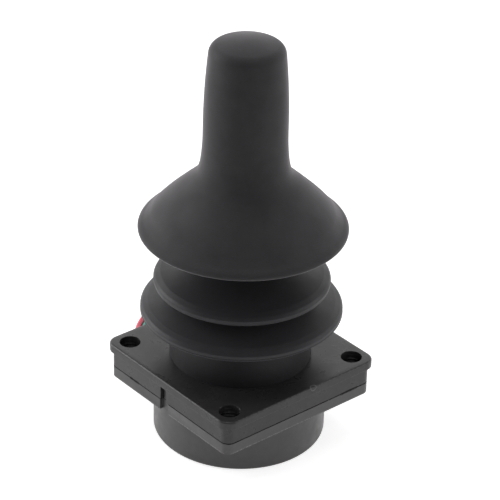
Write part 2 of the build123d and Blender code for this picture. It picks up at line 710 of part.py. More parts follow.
# Grommet: its lip hugs the can, its nose tapers as the strain relief, its inner flange holds it
with BuildPart() as cable_grommet:
    with BuildSketch(Plane.XZ):
        with BuildLine():
            Polyline(
                (grommet_x, WIRE_Z), (grommet_x, WIRE_Z + GROMMET_LIP_R), (lip_x, WIRE_Z + GROMMET_LIP_R),
                (lip_x, WIRE_Z + GROMMET_R), (exit_x, WIRE_Z + GROMMET_TIP_R), (exit_x, WIRE_Z), close=True,
            )
        make_face()
    revolve(axis=Axis((0, 0, WIRE_Z), (1, 0, 0)))
    cylinder_up(can_r, 0, CAN_H, Mode.SUBTRACT)
    with BuildSketch(Plane.YZ.offset(grommet_x)):
        with Locations((0, WIRE_Z)):
            Circle(GROMMET_FLANGE_R)
    extrude(amount=GROMMET_FLANGE_T)
    with BuildSketch(Plane.YZ.offset(grommet_x)):
        with Locations((0, WIRE_Z)):
            Circle(GROMMET_R)
    extrude(amount=lip_x - grommet_x)
    with BuildSketch(Plane.YZ.offset(exit_x)):
        with Locations((0, WIRE_Z)):
            with GridLocations(WIRE_PITCH, WIRE_PITCH, 2, 2):
                Circle(WIRE_R)
    extrude(amount=-exit_x, mode=Mode.SUBTRACT)
cable_grommet.part.label = "cable_grommet"


# Middle of the four wires from the grommet's tip to the coil, and from the coil to the plug
lead_route = [
    (exit_x, 0, WIRE_Z), (-31.5, 0.1, 5.2), (-37.0, 0.9, 2.8), (-42.0, 2.9, 1.5), (-46.0, 7.4, 1.4),
    (-48.9, 13.2, 1.4), (-50.6, 20.3, 1.4), (-51.35, 28.4, 1.6), (COIL_X - COIL_R, 36.2, 1.9),
]
tail_route = [(COIL_X + COIL_R, 36.0, 4.9), (-36.6, 31.2, 4.5), (PLUG_X, PLUG_Y, PLUG_H / 2)]


def beside(route, side, level):
    """The route of one wire of the bundle: the middle route moved sideways and up by half a pitch."""
    points = []
    for i, (x, y, z) in enumerate(route):
        x0, y0, _ = route[max(i - 1, 0)]
        x1, y1, _ = route[min(i + 1, len(route) - 1)]
        run = math.hypot(x1 - x0, y1 - y0)
        shift = side * WIRE_PITCH / 2
        points.append((x - shift * (y1 - y0) / run, y + shift * (x1 - x0) / run, z + level * WIRE_PITCH / 2))
    return points


def wire_tube(name, route):
    """A round wire along straight runs joined by arcs that use up most of each run."""
    points = [Vector(*p) for p in route]
    radii = []
    for before, here, after in zip(points, points[1:], points[2:]):
        turn = math.radians((here - before).get_angle(after - here))
        radii.append(ARC_SHARE * min((here - before).length, (after - here).length) / math.tan(turn / 2))
    with BuildPart() as tube:
        with BuildLine() as line:
            FilletPolyline(*points, radius=radii)
        with BuildSketch(Plane(origin=line.line @ 0, z_dir=line.line % 0)):
            Circle(WIRE_R)
        sweep(path=line.line)
    section = math.pi * WIRE_R**2
    length = sum(edge.length for edge in line.edges())
    print(name, "length", round(length, 1), "radii", [round(r, 1) for r in radii])
    print(name, "volume share", round(tube.part.volume / (section * length), 4))
    return tube.part


# Four free wires, two by two: the side is + to the left of the run, the level is + on top
wires = []
for name, side, level in (("red", 1, 1), ("green", -1, 1), ("white", 1, -1), ("black", -1, -1)):
    with BuildPart() as wire:
        add(wire_tube(name, beside(lead_route, side, level)))
        add(wire_tube(name, beside(tail_route, side, level)))
    wire.part.label = f"wire_{name}"
    wires.append(wire.part)

# Coil: the outer shape of one and a half turns of the four wires
with BuildPart() as harness_coil:
    with BuildSketch(Plane.XY.offset(coil_low_z)):
        with Locations((COIL_X, COIL_Y)):
            Circle(COIL_R + coil_half_w)
            Circle(COIL_R - coil_half_w, mode=Mode.SUBTRACT)
    extrude(amount=coil_high_z - coil_low_z)
    fillet(harness_coil.edges(), COIL_ROUND)
harness_coil.part.label = "harness_coil"

with BuildPart() as cable_tie:
    with BuildSketch(Plane.YZ.offset(COIL_X - TIE_W / 2)):
        with Locations((COIL_Y + COIL_R, (coil_low_z + coil_high_z) / 2)):
            RectangleRounded(
                2 * coil_half_w + 2 * TIE_T, coil_high_z - coil_low_z + 2 * TIE_T, COIL_ROUND + TIE_T
            )
            RectangleRounded(2 * coil_half_w, coil_high_z - coil_low_z, COIL_ROUND, mode=Mode.SUBTRACT)
    extrude(amount=TIE_W)
    with BuildSketch(Plane.YZ.offset(COIL_X - TIE_HEAD_L / 2)):
        with Locations((COIL_Y + COIL_R + coil_half_w + TIE_T / 2, (coil_low_z + coil_high_z) / 2)):
            Rectangle(TIE_HEAD_T, TIE_HEAD_H, align=(Align.MIN, Align.CENTER))
    extrude(amount=TIE_HEAD_L)
cable_tie.part.label = "cable_tie"

# Plug on the wires' far end: two by two cavities with crimped contacts, and a latch arm
plug_spots = [
    (PLUG_X + x * PLUG_PITCH / 2, PLUG_H / 2 + z * PLUG_PITCH / 2) for x in (-1, 1) for z in (-1, 1)
]
plug_front = Plane.XZ.offset(PLUG_L - PLUG_Y)
with BuildPart() as plug_housing:
    with BuildSketch(plug_front):
        with Locations((PLUG_X, PLUG_H / 2)):
            RectangleRounded(PLUG_W, PLUG_H, PLUG_ROUND)
    extrude(amount=-PLUG_L)
    with BuildSketch(plug_front):
        with Locations(*plug_spots):
            Rectangle(CAVITY_W, CAVITY_W)
    extrude(amount=-CAVITY_L, mode=Mode.SUBTRACT)
    with BuildSketch(Plane.YZ.offset(PLUG_X - LATCH_W / 2)):
        with BuildLine():
            Polyline(
                (PLUG_Y - PLUG_L, PLUG_H), (PLUG_Y - PLUG_L, PLUG_H + LATCH_GAP + LATCH_T),
                (PLUG_Y - PLUG_L + LATCH_L, PLUG_H + LATCH_GAP + LATCH_T),
                (PLUG_Y - PLUG_L + LATCH_L, PLUG_H + LATCH_GAP),
                (PLUG_Y - PLUG_L + LATCH_ROOT_L, PLUG_H + LATCH_GAP),
                (PLUG_Y - PLUG_L + LATCH_ROOT_L, PLUG_H), close=True,
            )
        make_face()
    extrude(amount=LATCH_W)
plug_housing.part.label = "plug_housing"

with BuildPart() as plug_contacts:
    with BuildSketch(plug_front.offset(CONTACT_L - CAVITY_L)):
        with Locations(*plug_spots):
            Rectangle(CONTACT_W, CONTACT_W)
            Rectangle(CONTACT_W - 2 * CONTACT_WALL, CONTACT_W - 2 * CONTACT_WALL, mode=Mode.SUBTRACT)
    extrude(amount=-CONTACT_L)
plug_contacts.part.label = "plug_contacts"

export_list = [
    top_housing.part, lower_housing.part, housing_screws, gate_plate.part, gimbal_carrier.part,
    carrier_screws, gimbal_ring.part, ring_pins.part, pivot_block.part, block_pins.part, roll_pin.part,
    lever_shaft.part, magnet_holder.part, magnet.part, spring_cup.part, retaining_ring.part,
    centring_spring.part, boot.part, knob.part, knob_core.part, knob_insert.part, sensor_board.part,
    hall_sensors.part, board_chips.part, board_screws, board_header.part, board_plug.part,
    inner_leads.part, cable_grommet.part, *wires, harness_coil.part, cable_tie.part,
    plug_housing.part, plug_contacts.part,
]
os.makedirs("parts", exist_ok=True)
for piece in export_list:
    export_step(piece, f"parts/{piece.label}.step")
    print(piece.label, len(piece.solids()), round(piece.volume, 1), piece.is_valid)
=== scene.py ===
import math
import bmesh
import bpy
from mathutils import Matrix, Vector


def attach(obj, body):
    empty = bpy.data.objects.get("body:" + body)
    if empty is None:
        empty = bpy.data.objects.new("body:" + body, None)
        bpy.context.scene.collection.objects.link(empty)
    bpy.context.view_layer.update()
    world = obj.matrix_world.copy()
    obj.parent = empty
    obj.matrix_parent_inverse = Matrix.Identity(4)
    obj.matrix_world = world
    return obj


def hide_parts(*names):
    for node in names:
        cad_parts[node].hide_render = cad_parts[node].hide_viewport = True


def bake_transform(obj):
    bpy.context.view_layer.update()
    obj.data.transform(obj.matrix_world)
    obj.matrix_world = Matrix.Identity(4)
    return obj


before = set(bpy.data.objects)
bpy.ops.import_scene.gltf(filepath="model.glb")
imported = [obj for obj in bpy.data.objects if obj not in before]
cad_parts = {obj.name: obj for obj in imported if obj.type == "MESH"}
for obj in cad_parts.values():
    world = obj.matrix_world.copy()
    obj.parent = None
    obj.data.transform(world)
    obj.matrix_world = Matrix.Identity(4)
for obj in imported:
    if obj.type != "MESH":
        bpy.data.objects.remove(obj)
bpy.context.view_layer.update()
MM = 0.001

# Viewpoint: a long lens half a metre away that looks down by 30 degrees on the flange's front corner,
# so that two of its faces are seen, and the wires past its left corner.
bpy.context.scene.view_settings.view_transform = "Standard"
ELEVATION = math.radians(29.906)
AROUND = math.radians(49.41)
ROLL = math.radians(1.50)
LENS_LENGTH, SENSOR_WIDTH = 162.1, 36
CAMERA_PLACE = (0.33208, -0.28240, 0.29682)
across = Vector((math.cos(AROUND), math.sin(AROUND), 0))
above = Vector((
    -math.sin(ELEVATION) * math.sin(AROUND), math.sin(ELEVATION) * math.cos(AROUND), math.cos(ELEVATION)
))
right = math.cos(ROLL) * across + math.sin(ROLL) * above
up = math.cos(ROLL) * above - math.sin(ROLL) * across


def shown(name, data):
    """A new object in the scene that holds this mesh, curve, lamp or camera."""
    thing = bpy.data.objects.new(name, data)
    bpy.context.collection.objects.link(thing)
    return thing


lens = bpy.data.cameras.new("photo camera")
lens.lens = LENS_LENGTH
lens.sensor_width = SENSOR_WIDTH
camera = shown("photo camera", lens)
camera.matrix_world = Matrix((right, up, right.cross(up))).transposed().to_4x4()
camera.location = CAMERA_PLACE
bpy.context.scene.camera = camera

# Harness wires: four thin PVC leads, red, green, white and black, that leave the grommet two by two,
# drop to the bench, wind one and a half turns under a tie and end in the plug. Extruded over copper.
WIRE_R = 0.65
WIRE_GAP = 0.75
COIL_X, COIL_Y, COIL_R = -44.0, 38.0, 7.25
COIL_LOW, COIL_HIGH = 1.9, 4.9
COIL_SWEEP, TURN_STEP = 540, 30
CLIMB_START, CLIMB_SWEEP = 225, 135
LEAD_ROUTE = [
    (-26.0, 0, 6.0), (-31.5, 0.1, 5.2), (-37.0, 0.9, 2.8), (-42.0, 2.9, 1.5), (-46.0, 7.4, 1.4),
    (-48.9, 13.2, 1.4), (-50.6, 20.3, 1.4), (-51.35, 28.4, 1.6), (-51.25, 36.2, 1.9),
]
TAIL_ROUTE = [(-36.75, 36.0, 4.9), (-36.6, 31.2, 4.5), (-36.2, 26.6, 3.1)]
WIRES = {
    "red": (1, 1, 0.1426, (0.86, 0.075, 0.140), (0.76, 0.050, 0.105)),
    "green": (-1, 1, 0.1264, (0.016, 0.400, 0.300), (0.010, 0.320, 0.240)),
    "white": (1, -1, 0.1426, (0.78, 0.77, 0.73), (0.68, 0.67, 0.62)),
    "black": (-1, -1, 0.1264, (0.020, 0.020, 0.022), (0.012, 0.012, 0.013)),
}


def open_group(name, kind, inputs, outputs):
    """A node group with named inputs and outputs, given with the sockets to link inside it."""
    group = bpy.data.node_groups.new(name, kind)
    for way, sockets in (("INPUT", inputs), ("OUTPUT", outputs)):
        for label, sort in sockets.items():
            group.interface.new_socket(name=label, in_out=way, socket_type=f"NodeSocket{sort}")
    return group, group.nodes.new("NodeGroupInput").outputs, group.nodes.new("NodeGroupOutput").inputs


def place_node(tree, kind, inputs=(), **settings):
    """Adds one node: its own settings, then its inputs as pairs of a socket and a value or a link."""
    node = tree.nodes.new(kind)
    for label, value in settings.items():
        setattr(node, label, value)
    for socket, value in inputs:
        if isinstance(value, bpy.types.NodeSocket):
            tree.links.new(value, node.inputs[socket])
        else:
            node.inputs[socket].default_value = value
    return node


def reckon(tree, operation, *values):
    """The result of one math node."""
    return place_node(tree, "ShaderNodeMath", enumerate(values), operation=operation).outputs[0]


def times(tree, first, second):
    """The product of two values."""
    return reckon(tree, "MULTIPLY", first, second)


def minus(tree, first, second):
    """The difference of two values."""
    return reckon(tree, "SUBTRACT", first, second)


def slope(tree, first, second):
    """The long side of a right triangle whose other sides are two values."""
    return reckon(tree, "SQRT", reckon(tree, "ADD", times(tree, first, first), times(tree, second, second)))


def own_place(tree):
    """Where a point lies in its own object."""
    return place_node(tree, "ShaderNodeTexCoord").outputs["Object"]


def axes_of(tree, vector):
    """A vector's X, Y and Z."""
    return place_node(tree, "ShaderNodeSeparateXYZ", [(0, vector)]).outputs


def eased(tree, value, start, end):
    """A smooth step of a value, from 0 at its start to 1 at its end."""
    step = place_node(
        tree, "ShaderNodeMapRange", [("Value", value), ("From Min", start), ("From Max", end)],
        interpolation_type="SMOOTHSTEP",
    )
    return step.outputs["Result"]


def blended(tree, share, first, second, kind="FLOAT"):
    """A mix of two numbers or two colours."""
    mix = place_node(tree, "ShaderNodeMix", [("Factor", share), ("A", first), ("B", second)], data_type=kind)
    return mix.outputs["Result"]


def speckled(tree, vector, scale, detail, roughness):
    """A noise value over a vector."""
    return place_node(tree, "ShaderNodeTexNoise", [
        ("Vector", vector), ("Scale", scale), ("Detail", detail), ("Roughness", roughness)
    ]).outputs["Fac"]


skin, given, made = open_group(
    "moulded skin", "ShaderNodeTree",
    {"Vector": "Vector", "Grain Scale": "Float", "Patch Scale": "Float", "Patch Share": "Float",
     "Dark": "Color", "Light": "Color", "Smooth": "Float", "Rough": "Float"},
    {"Color": "Color", "Roughness": "Float", "Height": "Float"},
)
grain = speckled(skin, given["Vector"], given["Grain Scale"], 3, 0.6)
patch = speckled(skin, given["Vector"], given["Patch Scale"], 5, 0.62)
spread = place_node(skin, "ShaderNodeMapRange", [
    ("Value", patch), ("From Min", 0.34), ("From Max", 0.66)
]).outputs["Result"]
skin.links.new(blended(skin, spread, given["Dark"], given["Light"], "RGBA"), made["Color"])
skin.links.new(blended(skin, spread, given["Rough"], given["Smooth"]), made["Roughness"])
skin.links.new(blended(skin, given["Patch Share"], grain, spread), made["Height"])


def moulded_finish(name, dark, light, rough, grain_mm, patch_mm, depth_mm, patch_share=0.3):
    """A moulded or extruded skin: fine grain over soft patches, with its shader left open for more."""
    finish = bpy.data.materials.new(name)
    finish.use_nodes = True
    tree = finish.node_tree
    cover = place_node(tree, "ShaderNodeGroup", [
        ("Vector", own_place(tree)), ("Grain Scale", 1 / (grain_mm * MM)),
        ("Patch Scale", 1 / (patch_mm * MM)), ("Patch Share", patch_share),
        ("Dark", (*dark, 1)), ("Light", (*light, 1)), ("Smooth", rough[0]), ("Rough", rough[1]),
    ], node_tree=skin, name="skin")
    bump = place_node(tree, "ShaderNodeBump", [
        ("Height", cover.outputs["Height"]), ("Distance", depth_mm * MM)
    ], name="skin relief")
    shader = tree.nodes["Principled BSDF"]
    tree.links.new(cover.outputs["Color"], shader.inputs["Base Color"])
    tree.links.new(cover.outputs["Roughness"], shader.inputs["Roughness"])
    tree.links.new(bump.outputs["Normal"], shader.inputs["Normal"])
    return finish


def beside(route, side, level):
    """One wire's points, in millimetres, beside the line that the bundle's middle follows."""
    points = []
    for i, (x, y, z) in enumerate(route):
        x0, y0, _ = route[max(i - 1, 0)]
        x1, y1, _ = route[min(i + 1, len(route) - 1)]
        run = math.hypot(x1 - x0, y1 - y0)
        shift = side * WIRE_GAP
        points.append((x - shift * (y1 - y0) / run, y + shift * (x1 - x0) / run, z + level * WIRE_GAP))
    return points


def coiled(side, level):
    """One wire's points round the coil. They stand a little wide, because its curve runs inside them."""
    points = []
    for turned in range(0, COIL_SWEEP + 1, TURN_STEP):
        reach = COIL_R + side * WIRE_GAP
        if TURN_STEP <= turned <= COIL_SWEEP - TURN_STEP:
            reach /= 0.75 + 0.25 * math.cos(math.radians(TURN_STEP))
        angle = math.radians(180 - turned)
        climb = min(max((turned - CLIMB_START) / CLIMB_SWEEP, 0), 1)
        z = COIL_LOW + (COIL_HIGH - COIL_LOW) * climb
        points.append((
            COIL_X + reach * math.cos(angle), COIL_Y + reach * math.sin(angle), z + level * WIRE_GAP
        ))
    return points


for hue, (side, level, length, light, dark) in WIRES.items():
    line = bpy.data.curves.new(f"lead_{hue}", "CURVE")
    line.dimensions = "3D"
    line.resolution_u = 10
    line.bevel_depth = WIRE_R * MM
    line.bevel_resolution = 5
    line.use_fill_caps = True
    route = beside(LEAD_ROUTE, side, level) + coiled(side, level) + beside(TAIL_ROUTE, side, level)
    thread = line.splines.new("NURBS")
    thread.points.add(len(route) - 1)
    for knot, spot in zip(thread.points, route):
        knot.co = (*(Vector(spot) * MM), 1)
    thread.order_u = 3
    thread.use_endpoint_u = True
    lead = shown(f"lead_{hue}", line)
    line.materials.append(moulded_finish(f"{hue} wire sleeve", dark, light, (0.30, 0.42), 0.5, 6, 0.01))
    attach(lead, "housing")
    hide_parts(f"wire_{hue}", "harness_coil")

# Studio: a round white sweep of painted board, flat under the part and curved up behind it, with soft
# lamps to the left and right of the view and one high overhead. The camera's own side stays dim.
SWEEP_R, SWEEP_BEND, SWEEP_TOP = 1.5, 0.35, 1.3
SWEEP_PANELS = 64
LAMPS = (
    ("left softbox", (-0.66, -0.44, 0.32), 0.60, 3.0),
    ("top softbox", (-0.12, 0.10, 0.95), 0.70, 2.8),
    ("right softbox", (0.55, 0.58, 0.30), 0.60, 0.95),
)
AIM = (0, 0, 0.04)
BOARD_GLOW = 0.76
LOW_MIRROR_GLOW, HIGH_MIRROR_GLOW, MIRROR_RISE = 0.55, 1.6, 0.5
ROOM_LIGHT, ROOM_SEEN = 0.24, 1.0

bend = [math.radians(a) for a in range(0, 91, 9)]
sweep_line = [(SWEEP_R + SWEEP_BEND * math.sin(a), SWEEP_BEND * (1 - math.cos(a))) for a in bend]
sweep_line.append((SWEEP_R + SWEEP_BEND, SWEEP_TOP))
back_angle = math.atan2(across.x, -across.y)
spots, panels = [(0, 0, 0)], []
for k in range(SWEEP_PANELS + 1):
    turn = back_angle + 2 * math.pi * k / SWEEP_PANELS
    behind = min(max((math.cos(turn - back_angle) + 0.25) / 0.5, 0), 1)
    spots += [(r * math.cos(turn), r * math.sin(turn), z * behind) for r, z in sweep_line]
row = len(sweep_line)
for k in range(SWEEP_PANELS):
    first = 1 + k * row
    panels.append((0, first, first + row))
    panels += [(first + i, first + i + 1, first + row + i + 1, first + row + i) for i in range(row - 1)]
board = bpy.data.meshes.new("studio sweep")
board.from_pydata(spots, [], panels)
board.shade_smooth()
studio_floor = shown("studio sweep", board)
white_board = bpy.data.materials.new("white board")
white_board.use_nodes = True
paint = white_board.node_tree
paint_shader = paint.nodes["Principled BSDF"]
paint_shader.inputs["Base Color"].default_value = (0.86, 0.86, 0.86, 1)
paint_shader.inputs["Roughness"].default_value = 0.9
paint_shader.inputs["Emission Color"].default_value = (1, 1, 1, 1)
ray = place_node(paint, "ShaderNodeLightPath").outputs
board_axes = axes_of(paint, own_place(paint))
upright = place_node(paint, "ShaderNodeMapRange", [
    ("Value", board_axes["Z"]), ("From Max", MIRROR_RISE),
    ("To Min", LOW_MIRROR_GLOW), ("To Max", HIGH_MIRROR_GLOW),
]).outputs["Result"]
mirrored = reckon(paint, "MAXIMUM", ray["Is Glossy Ray"], ray["Is Transmission Ray"])
seen = times(paint, ray["Is Camera Ray"], BOARD_GLOW)
glow = reckon(paint, "MULTIPLY_ADD", mirrored, upright, seen)
paint.links.new(glow, paint_shader.inputs["Emission Strength"])
board.materials.append(white_board)
for label, spot, size, power in LAMPS:
    lamp = bpy.data.lights.new(label, "AREA")
    lamp.shape = "DISK"
    lamp.size = size
    lamp.energy = power
    head = shown(label, lamp)
    head.location = spot
    aim = Vector(AIM) - Vector(spot)
    head.rotation_euler = aim.to_track_quat("-Z", "Y").to_euler()
room = bpy.data.worlds.new("studio room")
bpy.context.scene.world = room
room.use_nodes = True
room_light = room.node_tree.nodes["Background"].inputs
room_light["Color"].default_value = (1, 1, 1, 1)
room_ray = place_node(room.node_tree, "ShaderNodeLightPath").outputs["Is Camera Ray"]
room.node_tree.links.new(blended(room.node_tree, room_ray, ROOM_LIGHT, ROOM_SEEN), room_light["Strength"])

# Housings: the square flange with its collar, and the round can that closes it from below. Both are
# satin black glass-filled nylon, injection moulded, with soft edges, faint flow patches, scuffed rims
# and a fine open seam between them. The rims' pale scuffs also paint a highlight on the edges, and the
# can's copy of the plastic is painted lighter, as painted light from the floor's bounce. The four fixing
# holes show the tool's faint rings.
FIX_HALF = 18.0
HOLE_R = 2.4
HOLE_RING_PITCH = 0.9
SEAM_Z = 13.55
SEAM_GAP = 0.16
SEAM_EASE = 0.25
LIP_Z = 17.8
MOULD_EDGE = 0.20
SHARP = math.radians(40)
# Each rim, pale with wear and with a painted highlight along its edge: the half width it runs round, its
# level, how wide it is scuffed and how much.
RIMS = ((22.2, 19.8, 0.45, 0.60), (22.2, LIP_Z, 0.30, 0.25), (21.34, 10.85, 0.50, 0.90))
SPECK_SCALE = 2200
# Each shaded line: its level, half its height, how broken it is and what the seam's openings add.
SHADED_LINES = ((SEAM_Z + SEAM_GAP / 2, 0.12, 0.30, 0.14), (LIP_Z - 0.12, 0.14, 0.7, 0.0))
# Where the seam stands open: along which axis, its middle and half length there, and on which face.
SEAM_OPENINGS = (("X", -12.0, 1.7, "Y", -21.0), ("Y", 14.6, 2.6, "X", 21.0))
GATE_MARK = (22.25, 2.9, 19.7)
GATE_MARK_R = 0.8
# The rims' pale tone is scuffed wear and also a painted highlight on the edges.
RIM_WEAR_AND_HIGHLIGHT_TONE, SHADE_TONE = (0.27, 0.266, 0.268, 1), (0.004, 0.004, 0.004, 1)
# The gate mark's pale tone is a painted highlight on the mark's rim.
MARK_HIGHLIGHT_TONE = (0.17, 0.168, 0.17, 1)
SHADE_ROUGH, HOLE_ROUGH = 0.95, 0.27
WORN_RISE, SHADE_DROP, RING_RISE, MARK_RISE = 1.2, -3.0, 2.8, 4.0

# The rim mask: pale specks of wear along an edge, which also paint a highlight on it.
rim_scuff_and_highlight, given, made = open_group(
    "scuffed and highlit rim", "ShaderNodeTree",
    {"Vector": "Vector", "Half Width": "Float", "Level": "Float", "Band": "Float", "Speck Scale": "Float"},
    {"Mask": "Float"},
)
axes = axes_of(rim_scuff_and_highlight, given["Vector"])
side_reach = reckon(
    rim_scuff_and_highlight, "MAXIMUM", reckon(rim_scuff_and_highlight, "ABSOLUTE", axes["X"]), reckon(rim_scuff_and_highlight, "ABSOLUTE", axes["Y"])
)
from_side = reckon(rim_scuff_and_highlight, "ABSOLUTE", minus(rim_scuff_and_highlight, side_reach, given["Half Width"]))
from_level = reckon(rim_scuff_and_highlight, "ABSOLUTE", minus(rim_scuff_and_highlight, axes["Z"], given["Level"]))
from_rim = reckon(rim_scuff_and_highlight, "DIVIDE", reckon(rim_scuff_and_highlight, "ADD", from_side, from_level), given["Band"])
near_rim = eased(rim_scuff_and_highlight, from_rim, 1, 0)
specks = speckled(rim_scuff_and_highlight, given["Vector"], given["Speck Scale"], 4, 0.7)
rim_scuff_and_highlight.links.new(times(rim_scuff_and_highlight, near_rim, eased(rim_scuff_and_highlight, specks, 0.38, 0.62)), made["Mask"])

shade_line, given, made = open_group(
    "shaded line", "ShaderNodeTree",
    {"Vector": "Vector", "Level": "Float", "Half Height": "Float", "Breaks": "Float"}, {"Mask": "Float"},
)
axes = axes_of(shade_line, given["Vector"])
from_level = reckon(shade_line, "ABSOLUTE", minus(shade_line, axes["Z"], given["Level"]))
on_line = eased(shade_line, reckon(shade_line, "DIVIDE", from_level, given["Half Height"]), 1.6, 0.9)
gaps = speckled(shade_line, given["Vector"], 700, 4, 0.7)
broken = times(shade_line, given["Breaks"], eased(shade_line, gaps, 0.4, 0.55))
shade_line.links.new(times(shade_line, on_line, minus(shade_line, 1, broken)), made["Mask"])


def worn_and_highlit_rims(tree, place, tone, height):
    """Paints the skin pale and coarse along the rims: scuffs of wear, and a painted highlight on the edges.
    """
    for half, level, band, share in RIMS:
        worn_and_lit = place_node(tree, "ShaderNodeGroup", [
            ("Vector", place), ("Half Width", half * MM), ("Level", level * MM), ("Band", band * MM),
            ("Speck Scale", SPECK_SCALE),
        ], node_tree=rim_scuff_and_highlight).outputs["Mask"]
        tone = blended(tree, times(tree, worn_and_lit, share), tone, RIM_WEAR_AND_HIGHLIGHT_TONE, "RGBA")
        height = reckon(tree, "MULTIPLY_ADD", worn_and_lit, WORN_RISE, height)
    return tone, height


def seam_shade(tree, place, axes, tone, height, gloss):
    """Darkens the seam, more where it stands open, and the crease under the flange's lip."""
    opened = 0.0
    for along, middle, half, across_axis, face in SEAM_OPENINGS:
        within = reckon(tree, "COMPARE", axes[along], middle * MM, half * MM)
        outside = reckon(tree, "LESS_THAN" if face < 0 else "GREATER_THAN", axes[across_axis], face * MM)
        opened = reckon(tree, "ADD", opened, times(tree, within, outside))
    for level, half, breaks, opens in SHADED_LINES:
        reach = reckon(tree, "MULTIPLY_ADD", opened, opens * MM, half * MM)
        shaded = place_node(tree, "ShaderNodeGroup", [
            ("Vector", place), ("Level", level * MM), ("Half Height", reach), ("Breaks", breaks)
        ], node_tree=shade_line).outputs["Mask"]
        tone = blended(tree, times(tree, shaded, 0.92), tone, SHADE_TONE, "RGBA")
        gloss = blended(tree, shaded, gloss, SHADE_ROUGH)
        height = reckon(tree, "MULTIPLY_ADD", shaded, SHADE_DROP, height)
    return tone, height, gloss


def hole_rings(tree, axes, height, gloss):
    """Faint rings and a shinier skin inside the four fixing holes."""
    from_hole = [minus(tree, reckon(tree, "ABSOLUTE", axes[a]), FIX_HALF * MM) for a in "XY"]
    in_hole = reckon(tree, "LESS_THAN", slope(tree, *from_hole), (HOLE_R + 0.05) * MM)
    ring = reckon(tree, "SINE", times(tree, axes["Z"], 2 * math.pi / (HOLE_RING_PITCH * MM)))
    height = reckon(tree, "MULTIPLY_ADD", times(tree, in_hole, ring), RING_RISE, height)
    return height, blended(tree, in_hole, gloss, HOLE_ROUGH)


def gate_mark(tree, place, tone, height):
    """The small ring that an ejector or a gate leaves on the flange's right edge, raised a little and painted
    pale as a highlight on its rim.
    """
    from_mark = place_node(tree, "ShaderNodeVectorMath", [
        (0, place), (1, [c * MM for c in GATE_MARK])
    ], operation="DISTANCE").outputs["Value"]
    off_ring = reckon(tree, "ABSOLUTE", minus(tree, from_mark, GATE_MARK_R * MM))
    mark = eased(tree, off_ring, 0.17 * MM, 0.06 * MM)
    tone = blended(tree, times(tree, mark, 0.8), tone, MARK_HIGHLIGHT_TONE, "RGBA")
    return tone, reckon(tree, "MULTIPLY_ADD", mark, MARK_RISE, height)


def housing_finish(name, dark, light, rough, shine):
    """The housings' plastic, with rims pale from wear and painted highlight, the seam's shade, the holes'
    rings and the gate mark.
    """
    finish = moulded_finish(name, dark, light, rough, 0.25, 2.6, 0.008, 0.30)
    tree = finish.node_tree
    shader, cover = tree.nodes["Principled BSDF"], tree.nodes["skin"]
    shader.inputs["Specular IOR Level"].default_value = shine
    place = own_place(tree)
    axes = axes_of(tree, place)
    tone, height, gloss = cover.outputs["Color"], cover.outputs["Height"], cover.outputs["Roughness"]
    tone, height = worn_and_highlit_rims(tree, place, tone, height)
    tone, height, gloss = seam_shade(tree, place, axes, tone, height, gloss)
    height, gloss = hole_rings(tree, axes, height, gloss)
    tone, height = gate_mark(tree, place, tone, height)
    tree.links.new(tone, shader.inputs["Base Color"])
    tree.links.new(gloss, shader.inputs["Roughness"])
    tree.links.new(height, tree.nodes["skin relief"].inputs["Height"])
    return finish


def softened_copy(name, node, edge_mm, finish, body, seam_z=None):
    """A CAD node's shape welded into one mesh, its sharp edges rounded as a mould or a cutter leaves them.
    The face on a seam's level draws back by the seam's gap, and its edges stay nearly sharp."""
    shape = bmesh.new()
    shape.from_mesh(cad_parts[node].data)
    bmesh.ops.remove_doubles(shape, verts=shape.verts, dist=2e-6)
    bmesh.ops.dissolve_limit(
        shape, angle_limit=math.radians(0.6), verts=shape.verts, edges=shape.edges, delimit={"NORMAL"}
    )
    ease = shape.edges.layers.float.new("bevel_weight_edge")
    on_seam = [v for v in shape.verts if seam_z is not None and abs(v.co.z - seam_z * MM) < 1e-5]
    for edge in shape.edges:
        if len(edge.link_faces) == 2 and edge.calc_face_angle() > SHARP:
            edge[ease] = SEAM_EASE if all(v in on_seam for v in edge.verts) else 1.0
    for point in on_seam:
        point.co.z += SEAM_GAP * MM
    mesh = bpy.data.meshes.new(name)
    shape.to_mesh(mesh)
    shape.free()
    mesh.materials.clear()
    mesh.materials.append(finish)
    mesh.shade_smooth()
    mesh.set_sharp_from_angle(angle=SHARP)
    piece = shown(name, mesh)
    round_edge = piece.modifiers.new("mould edge", "BEVEL")
    round_edge.width = edge_mm * MM
    round_edge.segments = 3
    round_edge.limit_method = "WEIGHT"
    round_edge.harden_normals = True
    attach(piece, body)
    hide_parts(node)
    return piece


flange_plastic = housing_finish(
    "flange plastic", (0.0364, 0.0348, 0.0356), (0.0465, 0.0444, 0.0454), (0.26, 0.34), 0.42
)
# The can's plastic is the flange's, painted lighter as painted light from the floor's bounce.
can_plastic_painted_lighter = housing_finish(
    "can plastic painted lighter", (0.0530, 0.0500, 0.0510), (0.0632, 0.0598, 0.0608), (0.30, 0.42), 0.70
)
softened_copy(
    "top_housing_shell", "top_housing", MOULD_EDGE, flange_plastic, "housing", SEAM_Z
)
softened_copy("lower_housing_shell", "lower_housing", MOULD_EDGE, can_plastic_painted_lighter, "housing")

# Boot: black rubber bellows, compression moulded in one piece. Two thin discs over a plain neck that
# grips the collar's bead, and a sleeve round the knob's core. It is shown as two lengths, split at one
# height.
BOOT_TURN = 256
BOOT_BEND_LOW, BOOT_SPLIT, BOOT_BEND_TOP = 26.5, 32.1, 42.5
NECK_LOW, NECK_TOP = 28.6, 30.6
